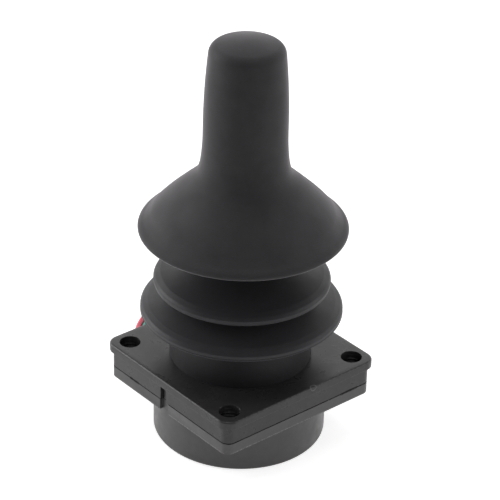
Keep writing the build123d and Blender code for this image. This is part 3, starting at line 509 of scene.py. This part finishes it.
# The neck's darker tone is painted shade from the lower disc above it.
NECK_SHADE_TONE = (0.024, 0.0237, 0.0266, 1)
BOOT_OUTSIDE = [
    (16.25, 19.8, 0), (16.25, 29.2, 1.2), (22.70, 31.0, 0.25), (22.98, 31.25, 0.15), (22.86, 31.55, 0.2),
    (22.95, 32.25, 0.5), (22.45, 32.95, 0.9), (21.2, 33.62, 1.6), (13.9, 36.3, 0.9),
    (19.55, 38.2, 0.5), (19.93, 38.5, 0.4), (20.00, 39.45, 0.5), (19.55, 40.10, 0.9),
    (18.4, 40.85, 1.6), (8.4, 44.5, 1.2), (8.4, 48.5, 0.25),
]
BOOT_INSIDE = [
    (7.3, 48.5, 0), (7.3, 43.4, 0.4), (18.87, 39.35, 0.3), (11.9, 36.3, 0.3), (21.83, 32.1, 0.3),
    (15.15, 30.3, 0.3), (15.15, 25.3, 0), (15.6, 25.2, 0), (15.6, 24.2, 0),
    (15.15, 24.1, 0), (15.15, 19.8, 0),
]


def rounded_line(corners, steps=6):
    """A profile of (radius, height) points whose corners are eased by their own small radius."""
    points = []
    for i, (r, z, ease) in enumerate(corners):
        here = Vector((r, z))
        if not ease or i in (0, len(corners) - 1):
            points.append(here)
            continue
        back = Vector(corners[i - 1][:2]) - here
        ahead = Vector(corners[i + 1][:2]) - here
        half = back.angle(ahead) / 2
        reach = min(ease / math.tan(half), 0.48 * back.length, 0.48 * ahead.length)
        start = here + back.normalized() * reach
        end = here + ahead.normalized() * reach
        for k in range(steps + 1):
            t = k / steps
            points.append((1 - t) ** 2 * start + 2 * t * (1 - t) * here + t * t * end)
    return points


def turned_piece(name, profile, around, finish, angle=40):
    """A closed lathe piece from a profile loop of (radius, height) in millimetres."""
    shape = bmesh.new()
    rings = []
    for r, z in profile:
        if r < 1e-6:
            rings.append([shape.verts.new((0, 0, z * MM))])
        else:
            rings.append([
                shape.verts.new((r * MM * math.cos(a), r * MM * math.sin(a), z * MM))
                for a in (2 * math.pi * k / around for k in range(around))
            ])
    for ring, other in zip(rings, rings[1:] + rings[:1]):
        if len(ring) == 1 and len(other) == 1:
            continue
        for k in range(around):
            corners = (
                ring[k % len(ring)], ring[(k + 1) % len(ring)],
                other[(k + 1) % len(other)], other[k % len(other)],
            )
            shape.faces.new(list(dict.fromkeys(corners)))
    bmesh.ops.recalc_face_normals(shape, faces=shape.faces)
    body = bpy.data.meshes.new(name)
    shape.to_mesh(body)
    shape.free()
    body.materials.append(finish)
    body.shade_smooth()
    body.set_sharp_from_angle(angle=math.radians(angle))
    return shown(name, body)


def cut_at(profile, level, keep_low):
    """The part of an open profile below or above one height, with a point where it crosses."""
    kept = []
    for first, second in zip(profile, profile[1:]):
        if (first.y <= level) == keep_low:
            kept.append(first)
        if (first.y <= level) != (second.y <= level):
            kept.append(first.lerp(second, (level - first.y) / (second.y - first.y)))
    if (profile[-1].y <= level) == keep_low:
        kept.append(profile[-1])
    return kept


boot_rubber = moulded_finish(
    "bellows rubber", (0.0306, 0.0302, 0.0340), (0.0372, 0.0367, 0.0413), (0.42, 0.52), 0.35, 6.0, 0.008, 0.2
)
boot_tree = boot_rubber.node_tree
boot_shader = boot_tree.nodes["Principled BSDF"].inputs
boot_cover = boot_tree.nodes["skin"].outputs["Color"]
boot_height = axes_of(boot_tree, own_place(boot_tree))["Z"]
# The neck is painted darker, as painted shade under the lower disc, and its specular is lowered there with
# it.
under_disc_shade = eased(boot_tree, boot_height, NECK_TOP * MM, NECK_LOW * MM)
neck_painted_shade = blended(boot_tree, under_disc_shade, boot_cover, NECK_SHADE_TONE, "RGBA")
boot_tree.links.new(neck_painted_shade, boot_shader["Base Color"])
boot_tree.links.new(blended(boot_tree, under_disc_shade, 0.26, 0.20), boot_shader["Specular IOR Level"])
boot_shader["Sheen Weight"].default_value = 0.14
boot_shader["Sheen Roughness"].default_value = 0.5
boot_shader["Sheen Tint"].default_value = (1.0, 0.98, 1.0, 1)
boot_out = rounded_line(BOOT_OUTSIDE)
boot_in = rounded_line(BOOT_INSIDE)
low_outline = cut_at(boot_out, BOOT_SPLIT, True) + cut_at(boot_in, BOOT_SPLIT, True)
high_outline = cut_at(boot_out, BOOT_SPLIT, False) + cut_at(boot_in, BOOT_SPLIT, False)
boot_low = turned_piece("boot_lower", low_outline, BOOT_TURN, boot_rubber)
boot_high = turned_piece("boot_upper", high_outline, BOOT_TURN, boot_rubber)
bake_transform(boot_low)
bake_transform(boot_high)
for length in (boot_low, boot_high):
    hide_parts("boot")

# Knob: a mushroom grip of soft matt black rubber, moulded over its stiff core. The wide skirt, with a
# full round lip, sheds water over the boot; the stem tapers a little and ends in a low dome.
KNOB_TURN = 320
STEM_R, STEM_FULL_Z, STEM_TAPER = 9.34, 77.0, 0.003
KNOB_BELL = [
    (23.5, 52.45), (23.34, 52.90), (22.85, 53.40), (22.05, 54.05), (20.98, 55.2), (19.96, 56.45),
    (18.00, 58.5), (15.90, 60.5), (13.88, 62.35), (12.28, 63.80), (11.60, 64.50), (11.00, 65.25),
    (10.53, 66.05), (10.19, 66.95), (9.94, 68.0), (9.75, 69.2), (9.60, 70.5), (9.49, 71.9),
    (9.38, 74.0), (STEM_R, STEM_FULL_Z),
]
LIP_X, LIP_MIDDLE_Z, LIP_ROUND = 22.7, 52.35, 0.8
KNOB_UNDER = [(7.0, 61.0), (11.0, 61.0), (18.4, 53.95), (20.9, 51.65)]
KNOB_SOCKET = [(0, 88.0), (5.2, 88.0), (5.2, 64.0), (7.0, 64.0)]
SHOULDER_X, SHOULDER_Z, SHOULDER_R = 6.045, 94.18, 2.4
CROWN_Z, CROWN_R = 72.2, 25.2


def flowing_line(points, steps=4):
    """A smooth line through measured profile points."""
    line = []
    ends = [points[0]] + list(points) + [points[-1]]
    for a, b, c, d in zip(ends, ends[1:], ends[2:], ends[3:]):
        for k in range(steps):
            t = k / steps
            line.append(tuple(
                0.5 * (2 * b[i] + (c[i] - a[i]) * t + (2 * a[i] - 5 * b[i] + 4 * c[i] - d[i]) * t * t
                       + (3 * b[i] - a[i] - 3 * c[i] + d[i]) * t ** 3)
                for i in (0, 1)
            ))
    line.append(tuple(points[-1]))
    return line


def arc(x, z, r, start, end, step):
    """Profile points on an arc, its angles in degrees from the radius line."""
    count = round((end - start) / step)
    angles = [math.radians(start + (end - start) * k / count) for k in range(count + 1)]
    return [(x + r * math.cos(a), z + r * math.sin(a)) for a in angles]


stem_levels = (79, 82, 85, 88, 90.5, 92.5, 93.6)
stem_side = [(STEM_R - STEM_TAPER * (z - STEM_FULL_Z) ** 2, z) for z in stem_levels]
knob_profile = (
    arc(LIP_X, LIP_MIDDLE_Z, LIP_ROUND, -90, -9, 9) + flowing_line(KNOB_BELL + stem_side)
    + arc(SHOULDER_X, SHOULDER_Z, SHOULDER_R, 6, 72, 6) + arc(0, CROWN_Z, CROWN_R, 75, 89, 2)
    + [(0, CROWN_Z + CROWN_R)] + KNOB_SOCKET + KNOB_UNDER
)
knob_rubber = moulded_finish(
    "soft grip rubber", (0.0225, 0.0212, 0.0236), (0.0270, 0.0256, 0.0284), (0.68, 0.78),
    0.22, 9.0, 0.010, 0.15,
)
knob_shader = knob_rubber.node_tree.nodes["Principled BSDF"].inputs
knob_shader["Specular IOR Level"].default_value = 0.50
knob_shader["Sheen Weight"].default_value = 0.84
knob_shader["Sheen Roughness"].default_value = 0.34
knob_shader["Sheen Tint"].default_value = (1.0, 0.96, 1.0, 1)
grip = turned_piece("grip", [Vector(p) for p in knob_profile], KNOB_TURN, knob_rubber, angle=50)
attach(grip, "stick")
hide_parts("knob")

# Knob core and its threaded insert: a stiff rod of glass-filled nylon that the grip is moulded over,
# and a turned brass bush pressed in its foot, which screws on the lever.
turning, given, made = open_group(
    "turning lines", "ShaderNodeTree",
    {"Vector": "Vector", "Pitch": "Float"}, {"Height": "Float", "Mask": "Float"},
)
axes = axes_of(turning, given["Vector"])
reach = slope(turning, axes["X"], axes["Y"])
along = reckon(turning, "DIVIDE", reckon(turning, "ADD", reach, axes["Z"]), given["Pitch"])
lines = place_node(
    turning, "ShaderNodeTexNoise", [("W", along), ("Scale", 1), ("Detail", 3)], noise_dimensions="1D"
)
stains = speckled(turning, given["Vector"], 450, 5, 0.5)
turning.links.new(lines.outputs["Fac"], made["Height"])
turning.links.new(eased(turning, stains, 0.25, 0.75), made["Mask"])


def turned_finish(name, dark, light, rough, pitch_mm, depth_mm):
    """Bare or plated metal with fine cutting lines and faint stains."""
    finish = bpy.data.materials.new(name)
    finish.use_nodes = True
    tree = finish.node_tree
    cut = place_node(tree, "ShaderNodeGroup", [
        ("Vector", own_place(tree)), ("Pitch", pitch_mm * MM)
    ], node_tree=turning).outputs
    bump = place_node(tree, "ShaderNodeBump", [("Height", cut["Height"]), ("Distance", depth_mm * MM)])
    shader = tree.nodes["Principled BSDF"]
    shader.inputs["Metallic"].default_value = 1
    tree.links.new(blended(tree, cut["Mask"], (*dark, 1), (*light, 1), "RGBA"), shader.inputs["Base Color"])
    tree.links.new(blended(tree, cut["Mask"], *rough), shader.inputs["Roughness"])
    tree.links.new(bump.outputs["Normal"], shader.inputs["Normal"])
    return finish


def dress(finish, *nodes):
    """Gives CAD nodes whose shape is right their finish."""
    for node in nodes:
        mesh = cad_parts[node].data
        mesh.materials.clear()
        mesh.materials.append(finish)


stiff_nylon = moulded_finish(
    "glass-filled nylon", (0.085, 0.085, 0.092), (0.125, 0.125, 0.133), (0.42, 0.58), 0.18, 2.2, 0.010, 0.35
)
brass = turned_finish("turned brass", (0.56, 0.36, 0.13), (0.74, 0.52, 0.22), (0.34, 0.22), 0.12, 0.010)
dress(stiff_nylon, "knob_core")
dress(brass, "knob_insert")

# Centring spring: a cone of hard-drawn steel wire, coiled cold, that stands on the gate and pushes the
# cup up. Its lower turns are wide enough to clear the leaning lever. Like the boot it is shown as two
# lengths, split at one height.
SPRING_LOW_R, SPRING_TOP_R = 10.65, 4.9
SPRING_LOW_Z, SPRING_TOP_Z = 26.7, 39.4
SPRING_SPLIT_R = 9.9
SPRING_BEND_LOW, SPRING_SPLIT, SPRING_BEND_TOP = 26.5, 30.5, 33.5
SPRING_TURNS = 5
SPRING_WIRE_R = 0.7


def round_path(tree, sides, radius):
    """A circle as a path or a profile."""
    return place_node(tree, "GeometryNodeCurvePrimitiveCircle", [
        ("Resolution", sides), ("Radius", radius)
    ]).outputs[0]


def drawn_along(tree, path, profile, capped=True):
    """A mesh of this profile drawn along a path."""
    return place_node(tree, "GeometryNodeCurveToMesh", [
        ("Curve", path), ("Profile Curve", profile), ("Fill Caps", capped)
    ]).outputs[0]


coil_tree, given, made = open_group(
    "conical spring", "GeometryNodeTree",
    {"Geometry": "Geometry", "Turns": "Float", "Low Radius": "Float", "Top Radius": "Float", "Rise": "Float",
     "Foot": "Float", "Start Angle": "Float", "Wire Radius": "Float", "Finish": "Material"},
    {"Geometry": "Geometry"},
)
spiral = place_node(coil_tree, "GeometryNodeCurveSpiral", [
    ("Resolution", 56), ("Rotations", given["Turns"]), ("Start Radius", given["Low Radius"]),
    ("End Radius", given["Top Radius"]), ("Height", given["Rise"]),
]).outputs[0]
drawn = drawn_along(coil_tree, spiral, round_path(coil_tree, 14, given["Wire Radius"]))
foot_lift = place_node(coil_tree, "ShaderNodeCombineXYZ", [("Z", given["Foot"])]).outputs[0]
foot_turn = place_node(coil_tree, "ShaderNodeCombineXYZ", [("Z", given["Start Angle"])]).outputs[0]
stood = place_node(coil_tree, "GeometryNodeTransform", [
    ("Geometry", drawn), ("Translation", foot_lift), ("Rotation", foot_turn)
]).outputs[0]


def close_tree(tree, geometry, finish, made):
    """Ends a geometry tree with real meshes in their finish."""
    plain = place_node(tree, "GeometryNodeRealizeInstances", [("Geometry", geometry)]).outputs[0]
    dressed = place_node(tree, "GeometryNodeSetMaterial", [
        ("Geometry", plain), ("Material", finish)
    ]).outputs[0]
    tree.links.new(dressed, made["Geometry"])
    tree.is_modifier = True


def grown_piece(name, tree, sizes, spots=((0, 0, 0),), turns=None):
    """One plain closed mesh that a geometry tree grows on its starting points, given in millimetres."""
    seed = bpy.data.meshes.new(f"{name} points")
    seed.from_pydata([Vector(spot) * MM for spot in spots], [], [])
    if turns:
        seed.attributes.new("turn", "FLOAT", "POINT").data.foreach_set("value", turns)
    piece = shown(name, seed)
    maker = piece.modifiers.new("maker", "NODES")
    maker.node_group = tree
    for socket in tree.interface.items_tree:
        if socket.in_out == "INPUT" and socket.name in sizes:
            maker[socket.identifier] = sizes[socket.name]
    bpy.context.view_layer.update()
    mesh = bpy.data.meshes.new_from_object(piece.evaluated_get(bpy.context.evaluated_depsgraph_get()))
    piece.modifiers.remove(maker)
    shape = bmesh.new()
    shape.from_mesh(mesh)
    bmesh.ops.remove_doubles(shape, verts=shape.verts, dist=1e-7)
    bmesh.ops.recalc_face_normals(shape, faces=shape.faces)
    shape.to_mesh(mesh)
    shape.free()
    mesh.shade_smooth()
    mesh.set_sharp_from_angle(angle=math.radians(35))
    piece.data = mesh
    return piece


close_tree(coil_tree, stood, given["Finish"], made)
spring_wire = turned_finish(
    "drawn spring wire", (0.30, 0.30, 0.32), (0.46, 0.46, 0.48), (0.42, 0.28), 0.5, 0.006
)
rise = SPRING_TOP_Z - SPRING_LOW_Z
split_share = (SPRING_SPLIT - SPRING_LOW_Z) / rise
spring_lengths = []
for name, start, end, low_r, top_r in (
    ("spring_lower", 0, split_share, SPRING_LOW_R, SPRING_SPLIT_R),
    ("spring_upper", split_share, 1, SPRING_SPLIT_R, SPRING_TOP_R),
):
    length = grown_piece(name, coil_tree, {
        "Turns": SPRING_TURNS * (end - start), "Low Radius": low_r * MM, "Top Radius": top_r * MM,
        "Rise": rise * (end - start) * MM, "Foot": (SPRING_LOW_Z + rise * start) * MM,
        "Start Angle": 2 * math.pi * SPRING_TURNS * start, "Wire Radius": SPRING_WIRE_R * MM,
        "Finish": spring_wire,
    })
    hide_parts("centring_spring")
    spring_lengths.append(length)
spring_low, spring_high = spring_lengths
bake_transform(spring_low)
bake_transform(spring_high)

# Spring cup and its clip: a moulded nylon cap that slides on the lever, held by a ring stamped from
# spring steel and snapped in the lever's groove.
FINE_EDGE = 0.12

clip_steel = turned_finish(
    "stamped spring steel", (0.26, 0.26, 0.28), (0.42, 0.42, 0.44), (0.40, 0.26), 0.3, 0.004
)
softened_copy("spring_cup_cap", "spring_cup", FINE_EDGE, stiff_nylon, "stick")
dress(clip_steel, "retaining_ring")

# Limit gate and gimbal ring: natural acetal, machined to size because the lever rubs on one and the
# pins turn in the other.
BLUNT_EDGE = 0.15

acetal = moulded_finish(
    "natural acetal", (0.74, 0.73, 0.67), (0.83, 0.82, 0.77), (0.28, 0.40), 0.35, 4.0, 0.006, 0.2
)
softened_copy("gate_disc", "gate_plate", FINE_EDGE, acetal, "housing")
softened_copy("gimbal_frame", "gimbal_ring", BLUNT_EDGE, acetal, "gimbal")

# Gimbal carrier and magnet cup: moulded glass-filled nylon. The carrier is screwed under the flange and
# holds the ring's pins in two ears; the cup is pressed on the lever's lower end.
softened_copy("carrier_frame", "gimbal_carrier", BLUNT_EDGE, stiff_nylon, "housing")
softened_copy("magnet_cup", "magnet_holder", FINE_EDGE, stiff_nylon, "stick")

# Lever, pivot block and pins: turned and ground free-cutting steel, oiled. The roll pin is rolled
# spring strip that locks the lever in the block.
ground_steel = turned_finish(
    "ground steel", (0.50, 0.50, 0.51), (0.60, 0.60, 0.61), (0.32, 0.22), 0.10, 0.004
)
rolled_strip = turned_finish(
    "rolled spring strip", (0.30, 0.30, 0.32), (0.44, 0.44, 0.46), (0.42, 0.30), 0.2, 0.004
)
dress(ground_steel, "lever_shaft", "ring_pins", "block_pins")
softened_copy("pivot_cube", "pivot_block", BLUNT_EDGE, ground_steel, "stick")
dress(rolled_strip, "roll_pin")

# Magnet: a small sintered disc, bright nickel plated against rust, and bonded in its cup just above the
# sensors, which read its field as the lever leans.
bright_nickel = turned_finish(
    "bright nickel", (0.60, 0.58, 0.54), (0.72, 0.70, 0.66), (0.22, 0.12), 0.4, 0.003
)
dress(bright_nickel, "magnet")

# Small screws: zinc-plated pan heads with a hexagon socket and a thread-forming shank. Four join the
# housings from below, four hold the carrier and three the board.
SCREW_SIZES = {
    "Head Radius": 1.9, "Head Height": 1.4, "Edge Round": 0.45, "Core Radius": 0.80, "Thread Depth": 0.19,
    "Socket Radius": 0.65, "Socket Depth": 0.7,
}
THREAD_PITCH = 0.8
THREADED_SHARE, THREAD_FOOT = 0.9, -0.96
HOUSING_SCREW_X, HOUSING_SCREW_Y, HOUSING_SCREW_Z = 12.6, 18.3, 12.25
CARRIER_SCREW_REACH, CARRIER_SCREW_Z = 15.5, 14.8
BOARD_SCREW_REACH, BOARD_TOP = 14.6, 3.6


def round_the_lever(reach, z, angles):
    """Places at one reach from the lever's axis."""
    return [(reach * math.cos(math.radians(a)), reach * math.sin(math.radians(a)), z) for a in angles]


# Each row of screws: its piece, the node it stands for, the shank's length, whether the heads face down
# and where the screws stand.
SCREW_ROWS = (
    ("housing_screw_set", "housing_screws", 5.2, True, [
        (x * HOUSING_SCREW_X, y * HOUSING_SCREW_Y, HOUSING_SCREW_Z) for x in (-1, 1) for y in (-1, 1)
    ]),
    ("carrier_screw_set", "carrier_screws", 4.4, True,
     round_the_lever(CARRIER_SCREW_REACH, CARRIER_SCREW_Z, (45, 135, 225, 315))),
    ("board_screw_set", "board_screws", 2.6, False,
     round_the_lever(BOARD_SCREW_REACH, BOARD_TOP, (60, 150, 300))),
)
screw_tree, given, made = open_group(
    "pan screws", "GeometryNodeTree",
    {"Geometry": "Geometry", **dict.fromkeys(SCREW_SIZES, "Float"), "Shank Length": "Float",
     "Thread Turns": "Float", "Tip Over": "Float", "Finish": "Material"},
    {"Geometry": "Geometry"},
)


def raised(tree, geometry, level):
    """Geometry moved up by a linked level."""
    lift = place_node(tree, "ShaderNodeCombineXYZ", [("Z", level)]).outputs[0]
    return place_node(tree, "GeometryNodeTransform", [
        ("Geometry", geometry), ("Translation", lift)
    ]).outputs[0]


blank = place_node(screw_tree, "GeometryNodeMeshCylinder", [
    ("Vertices", 40), ("Side Segments", 14), ("Radius", given["Head Radius"]), ("Depth", given["Head Height"])
]).outputs["Mesh"]
spot = axes_of(screw_tree, place_node(screw_tree, "GeometryNodeInputPosition").outputs[0])
level = reckon(screw_tree, "ADD", spot["Z"], times(screw_tree, given["Head Height"], 0.5))
round_start = minus(screw_tree, given["Head Height"], given["Edge Round"])
over = reckon(screw_tree, "MAXIMUM", minus(screw_tree, level, round_start), 0)
round_square = times(screw_tree, given["Edge Round"], given["Edge Round"])
left_over = minus(screw_tree, round_square, times(screw_tree, over, over))
drop = reckon(screw_tree, "SQRT", reckon(screw_tree, "MAXIMUM", left_over, 0))
inset = minus(screw_tree, given["Edge Round"], drop)
share = minus(screw_tree, 1, reckon(screw_tree, "DIVIDE", inset, given["Head Radius"]))
domed = place_node(screw_tree, "ShaderNodeCombineXYZ", [
    ("X", times(screw_tree, spot["X"], share)),
    ("Y", times(screw_tree, spot["Y"], share)), ("Z", level),
]).outputs[0]
head_blank = place_node(screw_tree, "GeometryNodeSetPosition", [
    ("Geometry", blank), ("Position", domed)
]).outputs[0]
socket_cut = times(screw_tree, given["Socket Depth"], 2)
hexagon = place_node(screw_tree, "GeometryNodeMeshCylinder", [
    ("Vertices", 6), ("Radius", given["Socket Radius"]), ("Depth", socket_cut)
]).outputs["Mesh"]
socketed = place_node(screw_tree, "GeometryNodeMeshBoolean", [
    (0, head_blank), (1, raised(screw_tree, hexagon, given["Head Height"]))
], operation="DIFFERENCE", solver="EXACT").outputs["Mesh"]
shank = place_node(screw_tree, "GeometryNodeMeshCylinder", [
    ("Vertices", 24), ("Radius", given["Core Radius"]), ("Depth", given["Shank Length"])
]).outputs["Mesh"]
thread_rise = times(screw_tree, given["Shank Length"], THREADED_SHARE)
thread_path = place_node(screw_tree, "GeometryNodeCurveSpiral", [
    ("Resolution", 20), ("Rotations", given["Thread Turns"]), ("Start Radius", given["Core Radius"]),
    ("End Radius", given["Core Radius"]), ("Height", thread_rise),
]).outputs[0]
thread = drawn_along(screw_tree, thread_path, round_path(screw_tree, 4, given["Thread Depth"]))
screw = screw_tree.nodes.new("GeometryNodeJoinGeometry")
for part in (
    socketed, raised(screw_tree, shank, times(screw_tree, given["Shank Length"], -0.5)),
    raised(screw_tree, thread, times(screw_tree, given["Shank Length"], THREAD_FOOT)),
):
    screw_tree.links.new(part, screw.inputs[0])
tipped = place_node(screw_tree, "ShaderNodeCombineXYZ", [("X", given["Tip Over"])]).outputs[0]
set_screws = place_node(screw_tree, "GeometryNodeInstanceOnPoints", [
    ("Points", given["Geometry"]), ("Instance", screw.outputs[0]), ("Rotation", tipped)
]).outputs[0]
close_tree(screw_tree, set_screws, given["Finish"], made)
zinc_plate = turned_finish("zinc plate", (0.46, 0.45, 0.42), (0.66, 0.65, 0.61), (0.44, 0.28), 0.16, 0.006)
for name, node, length, heads_down, spots in SCREW_ROWS:
    sizes = {label: value * MM for label, value in SCREW_SIZES.items()}
    sizes.update({
        "Shank Length": length * MM, "Thread Turns": THREADED_SHARE * length / THREAD_PITCH,
        "Tip Over": math.pi if heads_down else 0.0, "Finish": zinc_plate,
    })
    screws = grown_piece(name, screw_tree, sizes, spots)
    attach(screws, "housing")
    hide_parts(node)

# Sensor board: green solder mask over glass laminate, round with one flat side. Four Hall sensors and a
# processor are soldered by their tinned legs, a capacitor stands beside them, and copper runs join them.
SENSOR_REACH = 6.4
SENSOR_LEG_OUT, SENSOR_LEG_PITCH = 1.05, 0.95
CHIP_X, CHIP_Y, CHIP_HALF = 11.8, 2.8, 2.5
CHIP_LEGS, CHIP_LEG_OUT, CHIP_LEG_PITCH = 8, 0.24, 0.5
LEG_SIZE, LEG_RISE = (0.60, 0.24, 0.22), 0.10
RUN_R, RUN_DROP = 0.15, 0.09
BOARD_EDGE, PACKAGE_EDGE = 0.08, 0.10
RUNS = [
    [(7.7, -0.95), (8.4, -1.65), (8.4, 1.25), (9.1, 1.25)],
    [(7.7, 0.95), (8.5, 1.75), (9.1, 1.75)],
    [(0.95, 7.7), (0.95, 9.2), (7.35, 9.2), (10.55, 6.0)],
    [(-0.95, 7.7), (-0.95, 9.7), (7.35, 9.7), (11.05, 6.0)],
    [(-7.7, 0.95), (-9.2, 2.45), (-9.2, 5.2), (-4.2, 10.2), (7.35, 10.2), (11.55, 6.0)],
    [(-7.7, -0.95), (-8.4, -1.65), (-9.5, -1.65)],
    [(0.95, -7.7), (0.95, -8.9), (7.9, -8.9), (10.05, -6.75), (10.05, -0.3)],
    [(-0.95, -7.7), (-0.95, -9.4), (-7.8, -9.4), (-11.4, -5.8), (-11.4, -3.3)],
    [(12.6, -1.6), (12.55, -0.3)],
    [(12.6, -4.4), (12.6, -5.6), (8.3, -9.9), (-8.0, -9.9), (-12.4, -5.5), (-12.4, -3.3)],
]

bar_tree, given, made = open_group(
    "bars on points", "GeometryNodeTree",
    {"Geometry": "Geometry", "Bar Size": "Vector", "Turn Axis": "Vector", "Finish": "Material"},
    {"Geometry": "Geometry"},
)
bar = place_node(bar_tree, "GeometryNodeMeshCube", [("Size", given["Bar Size"])]).outputs["Mesh"]
own_turn = place_node(
    bar_tree, "GeometryNodeInputNamedAttribute", [("Name", "turn")], data_type="FLOAT"
).outputs[0]
turned = place_node(bar_tree, "ShaderNodeVectorMath", [
    (0, given["Turn Axis"]), ("Scale", own_turn)
], operation="SCALE").outputs["Vector"]
set_bars = place_node(bar_tree, "GeometryNodeInstanceOnPoints", [
    ("Points", given["Geometry"]), ("Instance", bar), ("Rotation", turned)
]).outputs[0]
close_tree(bar_tree, set_bars, given["Finish"], made)

solder_mask = moulded_finish(
    "green solder mask", (0.008, 0.105, 0.042), (0.014, 0.165, 0.068), (0.26, 0.40), 0.4, 3.2, 0.010, 0.4
)
package_epoxy = moulded_finish(
    "moulded epoxy", (0.016, 0.016, 0.017), (0.026, 0.026, 0.028), (0.48, 0.64), 0.15, 1.6, 0.008, 0.3
)
masked_copper = moulded_finish(
    "masked copper", (0.020, 0.22, 0.085), (0.030, 0.28, 0.110), (0.24, 0.36), 0.4, 2.0, 0.006, 0.3
)
tin = turned_finish("bright tin", (0.62, 0.61, 0.58), (0.78, 0.77, 0.74), (0.34, 0.20), 0.2, 0.004)
softened_copy("sensor_board_disc", "sensor_board", BOARD_EDGE, solder_mask, "housing")
softened_copy(
    "processor_and_capacitor", "board_chips", PACKAGE_EDGE, package_epoxy, "housing"
)
softened_copy("hall_sensor_bodies", "hall_sensors", PACKAGE_EDGE, package_epoxy, "housing")


def leg_place(x, y, out, aside, angle):
    """Where a leg lies: out and aside from a package's middle, on the side that faces the angle."""
    return (
        x + out * math.cos(angle) - aside * math.sin(angle),
        y + out * math.sin(angle) + aside * math.cos(angle), BOARD_TOP + LEG_RISE,
    )


leg_spots, leg_turns = [], []
for quarter in range(4):
    angle = math.radians(90 * quarter)
    for k in range(CHIP_LEGS):
        aside = (k - (CHIP_LEGS - 1) / 2) * CHIP_LEG_PITCH
        leg_spots.append(leg_place(CHIP_X, CHIP_Y, CHIP_HALF + CHIP_LEG_OUT, aside, angle))
        leg_turns.append(angle)
    for aside in (-SENSOR_LEG_PITCH, 0, SENSOR_LEG_PITCH):
        for out in (SENSOR_REACH - SENSOR_LEG_OUT, SENSOR_REACH + SENSOR_LEG_OUT):
            leg_spots.append(leg_place(0, 0, out, aside, angle))
            leg_turns.append(angle)
legs = grown_piece("soldered_legs", bar_tree, {
    "Bar Size": [side * MM for side in LEG_SIZE], "Turn Axis": (0.0, 0.0, 1.0), "Finish": tin
}, leg_spots, leg_turns)
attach(legs, "housing")
runs = bpy.data.curves.new("copper_runs", "CURVE")
runs.dimensions = "3D"
runs.bevel_depth = RUN_R * MM
runs.bevel_resolution = 1
runs.use_fill_caps = True
for path in RUNS:
    track = runs.splines.new("POLY")
    track.points.add(len(path) - 1)
    for knot, (x, y) in zip(track.points, path):
        knot.co = (x * MM, y * MM, (BOARD_TOP - RUN_DROP) * MM, 1)
runs.materials.append(masked_copper)
copper_runs = shown("copper_runs", runs)
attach(copper_runs, "housing")

# Board header and plug, and the plug on the wires' far end: natural nylon, moulded, a little yellowed
# and shiny. The crimped contacts in the far plug are tinned brass.
pale_nylon = moulded_finish(
    "natural nylon", (0.70, 0.67, 0.57), (0.79, 0.77, 0.68), (0.30, 0.44), 0.4, 3.5, 0.008, 0.25
)
softened_copy("header_box", "board_header", PACKAGE_EDGE, pale_nylon, "housing")
softened_copy("header_plug", "board_plug", BOARD_EDGE, pale_nylon, "housing")
dress(pale_nylon, "plug_housing")
dress(tin, "plug_contacts")

# Inner leads and cable grommet: the wires' run inside the can, and a black rubber bush pushed in the
# can's wall. Its tapered nose has moulded rings that let it bend evenly.
NOSE_RINGS, RING_PITCH = 4, 1.0
NOSE_START, NOSE_Z = -22.3, 6.0
NOSE_R, NOSE_SHRINK = 2.89, 0.036
RIB_R = 0.28

ring_tree, given, made = open_group(
    "nose rings", "GeometryNodeTree",
    {"Geometry": "Geometry", "Ring Radius": "Float", "Rib Radius": "Float", "Shrink": "Float",
     "Finish": "Material"},
    {"Geometry": "Geometry"},
)
ring_path = round_path(ring_tree, 48, given["Ring Radius"])
rib = drawn_along(ring_tree, ring_path, round_path(ring_tree, 10, given["Rib Radius"]), capped=False)
which = place_node(ring_tree, "GeometryNodeInputIndex").outputs[0]
smaller = minus(ring_tree, 1, times(ring_tree, which, given["Shrink"]))
set_rings = place_node(ring_tree, "GeometryNodeInstanceOnPoints", [
    ("Points", given["Geometry"]), ("Instance", rib), ("Rotation", (0, math.pi / 2, 0)),
    ("Scale", smaller),
]).outputs[0]
close_tree(ring_tree, set_rings, given["Finish"], made)
bush_rubber = moulded_finish(
    "bush rubber", (0.018, 0.0175, 0.018), (0.026, 0.0252, 0.026), (0.50, 0.64), 0.25, 3.0, 0.012, 0.3
)
inner_sleeve = moulded_finish(
    "inner wire sleeve", (0.012, 0.012, 0.013), (0.020, 0.020, 0.022), (0.30, 0.42), 0.5, 5, 0.01
)
dress(inner_sleeve, "inner_leads")
dress(bush_rubber, "cable_grommet")
ring_spots = [(NOSE_START - k * RING_PITCH, 0, NOSE_Z) for k in range(NOSE_RINGS)]
nose_rings = grown_piece("grommet_rings", ring_tree, {
    "Ring Radius": NOSE_R * MM, "Rib Radius": RIB_R * MM, "Shrink": NOSE_SHRINK, "Finish": bush_rubber
}, ring_spots)
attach(nose_rings, "housing")

# Cable tie: a strap of white nylon, moulded in one piece with its head, passed round the coil once and
# pulled tight through the head.
tie_nylon = moulded_finish(
    "white tie nylon", (0.70, 0.70, 0.66), (0.80, 0.80, 0.76), (0.32, 0.46), 0.3, 2.5, 0.008, 0.3
)
dress(tie_nylon, "cable_tie")
